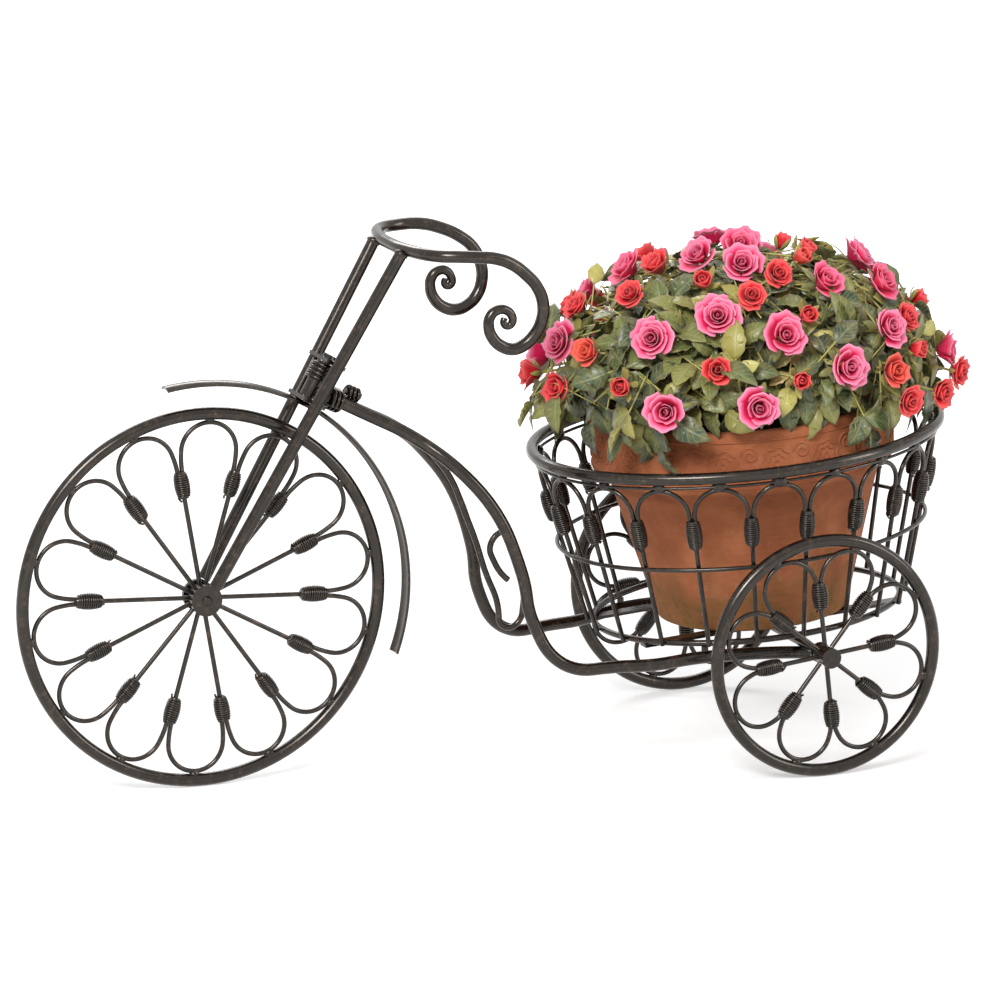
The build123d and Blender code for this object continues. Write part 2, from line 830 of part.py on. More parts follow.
save(basket_arches, "basket_arches")

# Floor straps, which carry the pot and lie on the rear axle
ring_half_length, ring_half_width, ring_end_radius = wall_size(0, floor_ring_offset)
strap_half_length = ring_half_length * sqrt(1 - (strap_spread / ring_half_width) ** 2)
with BuildPart() as floor_straps:
    for sign in sides.values():
        with BuildSketch(basket_plane.offset(strap_top)):
            with Locations((0, sign * strap_spread)):
                Rectangle(2 * strap_half_length, strap_width)
        extrude(amount=-strap_thickness)
save(floor_straps, "floor_straps")

# Posts between the rails and the front of the floor ring
post_spread = rail_spread * tube_spread_shares[-2]
post_back = ring_half_length * sqrt(1 - (post_spread / ring_half_width) ** 2)
post_top = basket_plane.from_local_coords(Vector(-post_back, 0, strap_top))
with BuildPart() as basket_posts:
    for tube_line in tube_lines:
        rail_here = point_at(tube_line, post_top.X)
        foot_height = rail_here.Z + tube_radius + weld_gap
        with BuildSketch(Plane(origin=(post_top.X, rail_here.Y, foot_height), z_dir=(0, 0, 1))):
            Circle(post_radius)
        extrude(amount=post_top.Z - foot_height)
save(basket_posts, "basket_posts")

# Pot, soil and rose bush, on the straps
pot_seat = basket_plane.from_local_coords(Vector(pot_place, 0, strap_top + weld_gap))
pot_centre = Plane(origin=pot_seat, x_dir=basket_plane.x_dir, z_dir=basket_plane.z_dir)
pot_side = Plane(origin=pot_centre.origin, x_dir=pot_centre.x_dir, z_dir=(0, -1, 0))
band_bottom = pot_height - pot_band_height
mouth_bottom = pot_height - pot_wall / 2
with BuildPart() as terracotta_pot:
    with BuildSketch(pot_side):
        with BuildLine():
            Polyline(
                (drain_hole_radius, 0),
                (pot_base_radius, 0),
                (pot_body_top_radius, band_bottom),
                (pot_band_radius - pot_band_rounding, band_bottom),
            )
            Line(
                (pot_band_radius - pot_band_rounding, band_bottom),
                (pot_band_radius, band_bottom + pot_band_rounding),
            )
            Line((pot_band_radius, band_bottom + pot_band_rounding), (pot_band_radius, mouth_bottom))
            TangentArc(
                (pot_band_radius, mouth_bottom),
                (pot_band_radius - pot_wall, mouth_bottom),
                tangent=(0, 1),
            )
            Polyline(
                (pot_band_radius - pot_wall, mouth_bottom),
                (pot_body_top_radius - pot_wall / 2, band_bottom),
                (pot_base_radius - pot_wall, pot_base_thickness),
                (drain_hole_radius, pot_base_thickness),
                (drain_hole_radius, 0),
            )
        make_face()
    revolve(axis=Axis(pot_centre.origin, pot_centre.z_dir), revolution_arc=360)
save(terracotta_pot, "terracotta_pot")

soil_bottom = pot_base_thickness + weld_gap
soil_top = pot_height - soil_depth_below_rim
inside_base = pot_base_radius - pot_wall
inside_waist = pot_body_top_radius - pot_wall / 2
inside_mouth = pot_band_radius - pot_wall
soil_share = (soil_top - band_bottom) / (mouth_bottom - band_bottom)
inside_soil_top = inside_waist + (inside_mouth - inside_waist) * soil_share
with BuildPart() as soil:
    with BuildSketch(pot_side):
        Polygon(
            (0, soil_bottom),
            (inside_base - weld_gap, soil_bottom),
            (inside_waist - weld_gap, band_bottom),
            (inside_soil_top - weld_gap, soil_top),
            (0, soil_top),
            align=None,
        )
    revolve(axis=Axis(pot_centre.origin, pot_centre.z_dir), revolution_arc=360)
save(soil, "soil")

cap_base = pot_height + foliage_rise + foliage_skirt_height
with BuildPart() as foliage:
    with BuildSketch(pot_side):
        with BuildLine():
            Polyline(
                (0, soil_top + weld_gap),
                (foliage_neck_radius, soil_top + weld_gap),
                (foliage_neck_radius, pot_height + foliage_rise),
                (foliage_skirt_radius, pot_height + foliage_rise),
                (foliage_half_length, cap_base),
            )
            EllipticalCenterArc((0, cap_base), foliage_half_length, foliage_cap_height, arc_size=90)
            Line((0, cap_base + foliage_cap_height), (0, soil_top + weld_gap))
        make_face()
    revolve(axis=Axis(pot_centre.origin, pot_centre.z_dir), revolution_arc=360)
    scale(by=(1, foliage_half_width / foliage_half_length, 1))
save(foliage, "foliage")


def flower_plane(turn_share, rise_share):
    """A plane that touches the leafy mound where a flower sits."""
    turn = 2 * pi * turn_share
    rise = pi / 2 * rise_share
    out = Vector(cos(rise) * cos(turn), cos(rise) * sin(turn), sin(rise))
    place = Vector(out.X * foliage_half_length, out.Y * foliage_half_width, out.Z * foliage_cap_height)
    facing = Vector(
        out.X / foliage_half_length, out.Y / foliage_half_width, out.Z / foliage_cap_height
    ).normalized()
    seat = pot_centre.from_local_coords(place + Vector(0, 0, cap_base) + facing * flower_gap)
    return Plane(origin=seat, z_dir=pot_centre.from_local_coords(facing) - pot_centre.origin)


def flowers(name, shares, radius, height):
    """Cupped flower heads on the mound."""
    outline = [(0, radius * flower_foot_share), (height / 2, radius), (height, radius * flower_mouth_share)]
    with BuildPart() as heads:
        for turn_share, rise_share in shares:
            stack(flower_plane(turn_share, rise_share), outline, flower_side_count)
    save(heads, name)


flowers("rose_blooms", bloom_shares, bloom_radius, bloom_height)
flowers("rose_buds", bud_shares, bud_radius, bud_height)
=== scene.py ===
"""Bicycle planter: wrought wire tricycle in bronze enamel, with a potted rose in its basket."""

import math
import random

import bmesh
import bpy
import numpy as np
from mathutils import Matrix, Vector


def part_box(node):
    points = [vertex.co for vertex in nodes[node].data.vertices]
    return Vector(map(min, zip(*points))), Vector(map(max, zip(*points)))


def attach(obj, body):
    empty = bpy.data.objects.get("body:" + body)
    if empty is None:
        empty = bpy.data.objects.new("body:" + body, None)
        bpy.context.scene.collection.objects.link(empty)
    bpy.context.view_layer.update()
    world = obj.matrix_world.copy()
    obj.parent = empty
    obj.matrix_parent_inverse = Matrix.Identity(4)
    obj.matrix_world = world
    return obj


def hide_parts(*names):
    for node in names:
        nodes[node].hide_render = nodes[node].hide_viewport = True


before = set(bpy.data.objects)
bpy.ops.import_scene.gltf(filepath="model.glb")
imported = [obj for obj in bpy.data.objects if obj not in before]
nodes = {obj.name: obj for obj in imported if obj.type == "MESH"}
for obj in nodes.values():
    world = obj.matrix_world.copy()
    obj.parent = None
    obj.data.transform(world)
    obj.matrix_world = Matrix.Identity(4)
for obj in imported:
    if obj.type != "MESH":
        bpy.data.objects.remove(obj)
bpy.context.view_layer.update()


def mm(length):
    """Millimetres to metres."""
    return length / 1000


# Named sizes, in millimetres, and places in the frame of the CAD model
front_hub = (-187.729, 0.0, 121.0)
rear_hub = (185.471, 0.0, 78.0)
pot_foot = (185.916, 0.0, 83.442)
pot_tilt = math.radians(4.5)
band_foot = 97.0
soil_height = 125.0
bush_base = 156.0
bush_half_length = 128.0
bush_half_width = 106.0
bush_height = 76.0

pot_base_radius = 61.5
pot_waist_radius = 88.0
pot_band_radius = 96.5
pot_mouth = 139.0
pot_inside_base = 54.0
pot_inside_waist = 78.5
pot_inside_mouth = 89.5
pot_floor = 9.0
drain_radius = 8.0

binding_wire = 0.68
binding_turns = 11.0
binding_length = 15.4
binding_core = 17.2
basket_binding_share = 1.17
binding_waist = 5.2
binding_end = 3.9
binding_tail = 2.6
bead_size = 2.4
clip_size = 2.7

bar_radius = 4.0
leg_head = (-65.2, 333.2)
neck_wire_radius = 1.0
neck_ring_radius = 1.4
neck_wire_drop = 0.8
# The handlebar was bent by hand, so its two arms differ: (x, y, z) from the bow to the curl's tip
near_arm = [
    (-60.5, -26, 336.8), (-50.4, -49.8, 336.8), (-38, -57, 336.8), (-27, -58.5, 336),
    (-16, -58, 334.5), (-5, -57.5, 330.5), (6, -56, 322.5), (14.5, -54.5, 313), (18.5, -53.5, 302),
    (18, -52.5, 292), (14, -51.5, 283.5), (7, -50.5, 277), (-0.5, -50.3, 274.8), (-7.5, -50, 277),
    (-13.5, -50, 282.5), (-16.3, -49.8, 290), (-15, -49.5, 296.5), (-10.5, -49.5, 300),
    (-4.5, -49, 299.5), (-0.5, -49, 295.5), (-0.5, -48.8, 291), (-3.6, -48.6, 289.3),
    (-6, -48.4, 291.6), (-5, -48.2, 294.6),
]
far_arm = [
    (-60.5, 26, 336.8), (-50.4, 49.8, 336.8), (-38, 57, 336.8), (-21, 58.5, 336.4),
    (-7.5, 58, 333), (6, 57, 326.5), (15, 56, 318.4), (19.3, 54.5, 308), (19.5, 53.5, 298),
    (16, 52.5, 289.3), (9.5, 51.5, 283.5), (1, 50.5, 281), (-7.4, 50.3, 283), (-14.2, 50, 289.2),
    (-16.9, 50, 297), (-15.8, 49.7, 303.4), (-11.6, 49.5, 307), (-6.6, 49.3, 306.8),
    (-3.2, 49.1, 303), (-2.6, 49, 298.6), (-5.4, 48.8, 296.8), (-8, 48.6, 298.8),
    (-7.2, 48.4, 302),
]

bloom_size = 15.4
bud_size = 11.4
petal_thickness = 0.3
leaf_thickness = 0.3
leaf_length = 25.0
leaf_width = 17.0
stem_thickness = 0.85

camera_place = Vector((-1.5407, -3.926, 1.134))
along_pot = Vector((-math.sin(pot_tilt), 0, math.cos(pot_tilt)))
across_pot = Vector((math.cos(pot_tilt), 0, math.sin(pot_tilt)))
pot_frame = Matrix(
    (
        (across_pot.x, 0, along_pot.x, mm(pot_foot[0])),
        (0, 1, 0, mm(pot_foot[1])),
        (across_pot.z, 0, along_pot.z, mm(pot_foot[2])),
        (0, 0, 0, 1),
    )
)


# Colours and materials
def linear(code):
    """An sRGB hex colour as linear light."""
    parts = [int(code[i : i + 2], 16) / 255 for i in (1, 3, 5)]
    return (*[p / 12.92 if p <= 0.04045 else ((p + 0.055) / 1.055) ** 2.4 for p in parts], 1.0)


def feed(tree, node, sockets):
    """Gives sockets what they take: a value, a hex colour, a node or another node's socket."""
    for key, value in sockets.items():
        if isinstance(value, bpy.types.Node):
            value = next(output for output in value.outputs if output.enabled)
        if isinstance(value, bpy.types.NodeSocket):
            tree.links.new(value, node.inputs[key])
        elif isinstance(value, str) and value.startswith("#"):
            node.inputs[key].default_value = linear(value)
        else:
            node.inputs[key].default_value = value


def add(tree, kind, sockets=None, **settings):
    """Adds a node with its own settings, and feeds its sockets."""
    node = tree.nodes.new(kind)
    for name, value in settings.items():
        setattr(node, name, value)
    feed(tree, node, sockets or {})
    return node


def set_stops(node, stops):
    """Gives a colour ramp its (place, hex colour) stops."""
    for _ in stops[2:]:
        node.color_ramp.elements.new(0.5)
    for element, (place, code) in zip(node.color_ramp.elements, stops):
        element.position = place
        element.color = linear(code)


def finish_of(name):
    """A new material, its tree and its shader."""
    material = bpy.data.materials.new(name)
    material.use_nodes = True
    tree = material.node_tree
    return material, tree, tree.nodes["Principled BSDF"]


def cloud(place, size, detail=2.0, roughness=0.5):
    """The sockets of a noise whose patches are of a size in millimetres."""
    return {"Vector": place, "Scale": 1 / mm(size), "Detail": detail, "Roughness": roughness}


def coat(tree, under, code, spread, low, high, most=1.0, **settings):
    """Covers a colour with patches of another: none where the noise is low, most where it is high."""
    noise = add(tree, "ShaderNodeTexNoise", spread)
    cover = add(tree, "ShaderNodeMapRange", {0: noise, 1: low, 2: high, 4: most}, **settings)
    return add(tree, "ShaderNodeMix", {0: cover, 6: under, 7: code}, data_type="RGBA")


def make_bronze_enamel():
    """Rubbed bronze enamel baked on mild steel: satin brown-black, browner where hands rub it."""
    material, tree, shader = finish_of("rubbed_bronze_enamel")
    place = add(tree, "ShaderNodeTexCoord").outputs["Object"]
    # The sprayed coat lies in clouds of 16 mm, and rubbed patches are 5 mm across
    base = add(tree, "ShaderNodeValToRGB", {0: add(tree, "ShaderNodeTexNoise", cloud(place, 16, 4.0, 0.6))})
    set_stops(base, [(0.3, "#0A0807"), (0.55, "#13100E"), (0.75, "#1F1915")])
    rubbed = cloud(place, 5, 5.0, 0.65)
    colour = coat(tree, base, "#46372C", rubbed, 0.5, 0.74, interpolation_type="SMOOTHSTEP")
    gloss = add(tree, "ShaderNodeTexNoise", cloud(place, 7, 3.0, 0.6))
    # Orange peel of the baked coat is about 0.7 mm across
    peel = add(tree, "ShaderNodeTexNoise", cloud(place, 0.7))
    look = {
        "Base Color": colour,
        "Roughness": add(tree, "ShaderNodeMapRange", {0: gloss, 1: 0.3, 2: 0.75, 3: 0.15, 4: 0.28}),
        "Metallic": 0.1,
        "Specular IOR Level": 0.62,
        "Specular Tint": "#FFF4E8",
        "Normal": add(tree, "ShaderNodeBump", {"Height": peel, "Strength": 0.5, "Distance": mm(0.008)}),
    }
    feed(tree, shader, look)
    return material


def make_terracotta():
    """Unglazed red clay, pressed and fired: matt, sandy, darker and browner towards the foot."""
    material, tree, shader = finish_of("fired_terracotta")
    own = add(tree, "ShaderNodeTexCoord").outputs["Object"]
    level = {"Vector": own, "Location": [mm(x) for x in pot_foot], "Rotation": (0, -pot_tilt, 0)}
    place = add(tree, "ShaderNodeMapping", level, vector_type="TEXTURE").outputs[0]
    height = add(tree, "ShaderNodeSeparateXYZ", {0: place}).outputs["Z"]
    clay = add(tree, "ShaderNodeValToRGB", {0: add(tree, "ShaderNodeTexNoise", cloud(place, 30, 6.0, 0.62))})
    set_stops(clay, [(0.28, "#965638"), (0.5, "#A96441"), (0.72, "#BC7750")])
    # The clay is darker and browner up to 46 mm above the foot, in fingers that reach 22 mm higher or lower
    finger = add(tree, "ShaderNodeTexNoise", cloud(place, 18, 4.0))
    reach = add(tree, "ShaderNodeMapRange", {0: finger, 1: 0.3, 2: 0.7, 3: -mm(22), 4: mm(22)})
    level = add(tree, "ShaderNodeMath", {0: height, 1: reach})
    low_darkening = add(tree, "ShaderNodeMapRange", {0: level, 1: mm(4), 2: mm(46), 3: 0.8, 4: 0.0})
    clay = add(tree, "ShaderNodeMix", {0: low_darkening, 6: clay, 7: "#8A5F38"}, data_type="RGBA")
    # Lime dries out of the clay in faint pale clouds, and moss grows in ochre spots in the darker low part
    clay = coat(tree, clay, "#D0A687", cloud(place, 11, 6.0, 0.7), 0.58, 0.8, 0.35)
    clay = coat(tree, clay, "#6F5A2C", cloud(place, 4.5, 5.0, 0.7), 0.47, 0.62, low_darkening)
    # Sand grains are 0.4 mm, drawn at 0.9 mm so that they show
    sand = cloud(place, 0.9, 3.0, 0.7)
    clay = coat(tree, clay, "#7C4830", sand, 0.58, 0.75, 0.4)
    grit = add(tree, "ShaderNodeTexNoise", sand)
    throwing = {"Vector": place, "Scale": 1 / mm(14), "Distortion": 2.0}
    lines = add(tree, "ShaderNodeTexWave", throwing, bands_direction="Z").outputs["Fac"]
    relief = add(tree, "ShaderNodeMath", {0: lines, 1: grit})
    bump = add(tree, "ShaderNodeBump", {"Height": relief, "Strength": 0.6, "Distance": mm(0.14)})
    feed(tree, shader, {"Base Color": clay, "Roughness": 0.88, "Specular IOR Level": 0.25, "Normal": bump})
    return material


def make_soil():
    """Peat potting soil: crumbs of 1 to 3 mm, nearly black where moist."""
    material, tree, shader = finish_of("peat_potting_soil")
    place = add(tree, "ShaderNodeTexCoord").outputs["Object"]
    crumbs = add(tree, "ShaderNodeTexVoronoi", {"Vector": place, "Scale": 1 / mm(2.5)})
    colour = add(tree, "ShaderNodeValToRGB", {0: crumbs})
    set_stops(colour, [(0.0, "#3A2A1E"), (0.5, "#231811"), (1.0, "#120C08")])
    bump = add(tree, "ShaderNodeBump", {"Height": crumbs, "Distance": mm(1.0)})
    feed(tree, shader, {"Base Color": colour, "Roughness": 0.95, "Normal": bump})
    return material


def make_leaf():
    """Dyed and moulded cloth leaf: waxy face, pressed veins, from blue-green to yellow-green."""
    material, tree, shader = finish_of("moulded_cloth_leaf")
    told = [add(tree, "ShaderNodeAttribute", attribute_name=key) for key in ("along", "across", "tone")]
    along, across, tone = (node.outputs["Fac"] for node in told)
    place = add(tree, "ShaderNodeTexCoord").outputs["Object"]
    side = add(tree, "ShaderNodeMath", {0: across}, operation="ABSOLUTE")
    green = add(tree, "ShaderNodeValToRGB", {0: tone})
    dark = [(0.0, "#1E2E27"), (0.2, "#33472F"), (0.38, "#4E5F30"), (0.55, "#747A3A")]
    set_stops(green, dark + [(0.7, "#A59C4C"), (0.85, "#C8C266"), (0.94, "#D2C47C"), (1.0, "#B87C4A")])
    # Dye lies unevenly, in patches of 6 mm, and the margin takes more red-brown
    green = coat(tree, green, "#A89A58", cloud(place, 6, 3.0), 0.38, 0.7, 0.4)
    margin = add(tree, "ShaderNodeMapRange", {0: side, 1: 0.8, 2: 1.0, 4: 0.3})
    green = add(tree, "ShaderNodeMix", {0: margin, 6: green, 7: "#7A4F30"}, data_type="RGBA")
    # Side veins leave the midrib at a slant, seven to a side
    slant = add(tree, "ShaderNodeMath", {0: side, 1: -0.28, 2: along}, operation="MULTIPLY_ADD")
    wave = add(tree, "ShaderNodeMath", {0: slant, 1: 7 * math.tau}, operation="MULTIPLY")
    crest = add(tree, "ShaderNodeMath", {0: wave}, operation="COSINE")
    vein = add(tree, "ShaderNodeMapRange", {0: crest, 1: 0.7, 2: 1.0}, interpolation_type="SMOOTHSTEP")
    rib = add(tree, "ShaderNodeMapRange", {0: side, 1: 0.05, 2: 0.12, 3: 1.0, 4: 0.0})
    lines = add(tree, "ShaderNodeMath", {0: vein, 1: rib}, operation="MAXIMUM")
    faint = add(tree, "ShaderNodeMath", {0: lines, 1: 0.25}, operation="MULTIPLY")
    look = {
        "Base Color": add(tree, "ShaderNodeMix", {0: faint, 6: green, 7: "#B9C088"}, data_type="RGBA"),
        "Roughness": 0.36,
        "Specular IOR Level": 0.55,
        "Sheen Weight": 0.1,
        "Normal": add(tree, "ShaderNodeBump", {"Height": lines, "Strength": 0.7, "Distance": -mm(0.25)}),
    }
    feed(tree, shader, look)
    return material


def make_petal(name, heart, middle, edge, blush, sheen):
    """Dyed cloth petal: deepest in the heart of the flower, pale along its rolled edge."""
    material, tree, shader = finish_of(name)
    told = [add(tree, "ShaderNodeAttribute", attribute_name=key) for key in ("along", "age", "tone")]
    along, age, tone = (node.outputs["Fac"] for node in told)
    place = add(tree, "ShaderNodeTexCoord").outputs["Object"]
    opening = add(tree, "ShaderNodeMapRange", {0: age, 2: 0.7}, interpolation_type="SMOOTHSTEP")
    colour = add(tree, "ShaderNodeMix", {0: opening, 6: heart, 7: middle}, data_type="RGBA")
    tip = add(tree, "ShaderNodeMapRange", {0: along, 1: 0.64, 2: 1.0, 4: 0.85})
    bare = add(tree, "ShaderNodeMapRange", {0: age, 2: 0.8, 3: 0.35})
    pale = add(tree, "ShaderNodeMath", {0: tip, 1: bare}, operation="MULTIPLY")
    foot = add(tree, "ShaderNodeMapRange", {0: along, 1: 0.1, 2: 0.7, 3: 0.9, 4: 0.0})
    some = add(tree, "ShaderNodeMapRange", {0: tone, 1: 0.55, 2: 1.0, 4: 0.35})
    for cover, code in ((pale, edge), (foot, heart), (some, blush)):
        colour = add(tree, "ShaderNodeMix", {0: cover, 6: colour, 7: code}, data_type="RGBA")
    # Cloth threads are 0.25 mm apart, drawn at 0.8 mm so that they show
    weave = add(tree, "ShaderNodeTexNoise", cloud(place, 0.8))
    look = {
        "Base Color": colour,
        "Roughness": 0.6,
        "Specular IOR Level": 0.3,
        "Sheen Weight": sheen,
        "Normal": add(tree, "ShaderNodeBump", {"Height": weave, "Strength": 0.5, "Distance": mm(0.05)}),
    }
    feed(tree, shader, look)
    return material


def make_floor():
    """Matt white paper sweep: white to the camera and in reflections, with the object's soft shadow."""
    material, tree, shader = finish_of("white_paper_sweep")
    path = add(tree, "ShaderNodeLightPath").outputs
    own = add(tree, "ShaderNodeTexCoord").outputs["Object"]
    feed(tree, shader, {"Base Color": "#E6E6E6", "Roughness": 1.0, "Specular IOR Level": 0.0})
    # The lamps fall off from 0.5 m outwards, so the paper is lit up to white by 1.6 m
    away = add(tree, "ShaderNodeVectorMath", {0: own}, operation="LENGTH")
    shine = add(tree, "ShaderNodeMapRange", {0: away, 1: 0.5, 2: 1.6, 3: floor_glow, 4: 0.9})
    glow = add(tree, "ShaderNodeEmission", {0: "#FFFFFF", 1: shine})
    both = add(tree, "ShaderNodeAddShader", {0: shader, 1: glow})
    rays = {0: path["Is Camera Ray"], 1: path["Is Glossy Ray"]}
    seen = add(tree, "ShaderNodeMath", rays, operation="MAXIMUM")
    mix = add(tree, "ShaderNodeMixShader", {0: seen, 1: shader, 2: both})
    feed(tree, tree.nodes["Material Output"], {"Surface": mix})
    return material


floor_glow = 0.42
bronze = make_bronze_enamel()
terracotta = make_terracotta()
peat = make_soil()
leaf_cloth = make_leaf()
pink_cloth = make_petal("dyed_pink_petal", "#B2083A", "#E81A5E", "#FFA8C8", "#F03C60", 0.06)
red_cloth = make_petal("dyed_red_petal", "#B00A20", "#E8202E", "#FA6E6C", "#F58A48", 0.12)


# Meshes
def new_piece(name, mesh, material=None):
    """A piece at the origin, linked to the scene."""
    piece = bpy.data.objects.new(name, mesh)
    bpy.context.scene.collection.objects.link(piece)
    if material:
        mesh.materials.append(material)
    return piece


def sheet(grid, thickness):
    """A closed thin sheet through a grid of points: rows from foot to tip, columns across."""
    rows, columns = grid.shape[:2]
    normal = np.cross(np.gradient(grid, axis=1), np.gradient(grid, axis=0))
    normal /= np.linalg.norm(normal, axis=2, keepdims=True) + 1e-12
    points = np.concatenate([grid + normal * thickness / 2, grid - normal * thickness / 2]).reshape(-1, 3)
    count = rows * columns
    index = np.arange(count).reshape(rows, columns)
    face = np.stack([index[:-1, :-1], index[:-1, 1:], index[1:, 1:], index[1:, :-1]], -1).reshape(-1, 4)
    border = np.concatenate([index[0, :-1], index[:-1, -1], index[-1, :0:-1], index[:0:-1, 0]])
    following = np.roll(border, -1)
    rim = np.stack([following, border, border + count, following + count], -1)
    along = np.tile(np.repeat(np.linspace(0, 1, rows), columns), 2)
    across = np.tile(np.tile(np.linspace(-1, 1, columns), rows), 2)
    return points, np.concatenate([face, face[:, ::-1] + count, rim]), {"along": along, "across": across}


def joined(name, parts):
    """One mesh from (points, faces, attributes) parts, kept off the scene."""
    faces, start = [], 0
    for points, part_faces, _ in parts:
        # A cap's quad names one corner twice, so it is kept as a triangle
        faces.extend(list(dict.fromkeys(face)) for face in (part_faces + start).tolist())
        start += len(points)
    mesh = bpy.data.meshes.new(name)
    mesh.from_pydata(np.concatenate([p for p, _, _ in parts]).tolist(), [], faces)
    for key in parts[0][2]:
        layer = mesh.attributes.new(key, "FLOAT", "POINT")
        layer.data.foreach_set("value", np.concatenate([v[key] for _, _, v in parts]).astype(np.float32))
    mesh.shade_smooth()
    return mesh


def petal(size, age, heading, style, rng):
    """One petal of a flower whose axis is Z. Age runs from 0 in the heart to 1 outside."""
    rows, columns = style["grid"]
    t = np.linspace(0, 1, rows)[:, None]
    s = np.linspace(-1, 1, columns)[None, :]
    reach = t * (1 - style["round"] * np.abs(s) ** 2.4 * t)
    q = np.linspace(0, 1, 60)
    loose = style["loose"] * rng.uniform(-1, 1) * (0.3 + age)
    leans = (style["foot"], style["tip"])
    foot, tip = (math.radians(low + (high - low) * age + loose) for low, high in leans)
    roll = math.radians(style["roll"] * age)
    lean = foot + (tip - foot) * q**1.6 + roll * np.clip((q - 0.78) / 0.22, 0, 1) ** 2
    length = style["length"][0] + (style["length"][1] - style["length"][0]) * age
    step = length / 59
    out = style["core"][0] + (style["core"][1] - style["core"][0]) * age + np.cumsum(np.sin(lean)) * step
    up = style["lift"] * (1 - age) + np.cumsum(np.cos(lean)) * step
    radius = np.maximum(np.interp(reach, q, out), 0.02)
    height = np.interp(reach, q, up)
    half = math.radians(style["wrap"][0] + (style["wrap"][1] - style["wrap"][0]) * age**0.6)
    width = 0.5 + 0.5 * np.sin(np.pi * np.clip(t, 0, 1) ** 0.8 * 0.62)
    width = width * (1 - style["point"] * t**1.6)
    turn = heading + s * half * width
    phase = rng.uniform(0, math.tau)
    ruffle = style["ruffle"] * np.sin(2.8 * np.pi * s + phase) * t**2 * (0.3 + age)
    radius = radius * (1 + ruffle) + 0.05 * s**2 * t * age
    height = height + ruffle * 0.8 - 0.04 * s**2 * t * age
    grid = np.stack([radius * np.cos(turn), radius * np.sin(turn), height], -1) * size
    points, faces, values = sheet(grid[:, ::-1], mm(petal_thickness))
    values["age"] = np.full(len(points), age)
    return points, faces, values


def flower(name, size, style, seed):
    """A head of overlapping petals set at the golden angle, as a maker winds them on the wire."""
    rng = random.Random(seed)
    count = style["count"]
    parts = []
    for index in range(count):
        age = index / (count - 1)
        heading = index * math.radians(137.5) + rng.uniform(-0.15, 0.15)
        parts.append(petal(size * rng.uniform(0.95, 1.04), age, heading, style, rng))
    return joined(name, parts)


# How flower heads are made. Pairs run from the heart to the outside: the lean of a petal at its foot and
# its tip in degrees, its length and its place as shares of the size, and half its wrap in degrees
rose_cloth = {"grid": (7, 11), "round": 0.18, "loose": 8, "ruffle": 0.045, "point": 0.0, "lift": 0.06}
open_rose = {
    **rose_cloth,
    "count": 14,
    "foot": (4, 44),
    "tip": (-26, 72),
    "roll": 20,
    "length": (0.68, 0.88),
    "core": (0.05, 0.22),
    "wrap": (125, 56),
}
closer = {"count": 12, "foot": (3, 34), "tip": (-28, 60), "length": (0.74, 1.0), "core": (0.05, 0.2)}
cupped_rose = {**open_rose, **closer}
flatter = {"count": 15, "foot": (6, 54), "tip": (-20, 84), "roll": 26, "length": (0.62, 0.84)}
wide_rose = {**open_rose, **flatter}
bud_cloth = {"grid": (6, 7), "round": 0.26, "loose": 6, "ruffle": 0.06, "point": 0.0, "lift": 0.05}
half_open_bud = {
    **bud_cloth,
    "count": 11,
    "foot": (8, 30),
    "tip": (-26, 40),
    "roll": 35,
    "length": (1.05, 1.25),
    "core": (0.06, 0.24),
    "wrap": (125, 58),
}
shut = {"count": 9, "foot": (14, 30), "tip": (-34, -6), "roll": 10, "length": (0.9, 1.0), "wrap": (120, 70)}
closed_bud = {**half_open_bud, **shut}
small_rose = {**half_open_bud, "count": 13, "foot": (6, 46), "tip": (-22, 66), "length": (0.85, 1.0)}
sepal_cloth = {"grid": (5, 3), "round": 0.0, "loose": 0, "ruffle": 0.0, "point": 0.92, "lift": 0.0}
sepals = {
    **sepal_cloth,
    "foot": (64, 74),
    "tip": (4, 26),
    "roll": 0,
    "length": (1.0, 1.1),
    "core": (0.12, 0.14),
    "wrap": (26, 26),
}
folded_sepals = {**sepals, "foot": (84, 88), "tip": (104, 122), "length": (0.8, 0.9)}


def calyx(name, size, style, seed):
    """Five narrow sepals that clasp a bud from below, or fold back under an open flower."""
    rng = random.Random(seed)
    parts = []
    for index in range(5):
        part = petal(size, 0.2 * index, index * math.tau / 5, style, rng)
        part[0][:, 2] -= mm(0.8)
        parts.append(part)
    return joined(name, parts)


def leaf(name, length, width, fold, droop, twist):
    """A toothed oval blade from the origin along Y, folded up along its rib, its tip bent down."""
    rows, columns = 9, 3
    t = np.linspace(0, 1, rows)[:, None] * np.ones((1, columns))
    s = np.linspace(-1, 1, columns)[None, :] * np.ones((rows, 1))
    outline = np.maximum(np.sin(np.pi * t**0.84) ** 0.8, 0.03)
    tooth = 1 - 0.09 * (np.arange(rows) % 2)[:, None] * np.abs(s)
    x = s * width / 2 * outline * tooth
    y = t * length
    z = np.abs(s) * outline * width / 2 * math.sin(fold) - droop * length * t**2.2
    z = z + 0.025 * length * np.cos(t * np.pi * 6) * np.abs(s) * outline
    turn = twist * t
    grid = np.stack([x * np.cos(turn), y, z + x * np.sin(turn)], -1)
    return joined(name, [sheet(grid, mm(leaf_thickness))])


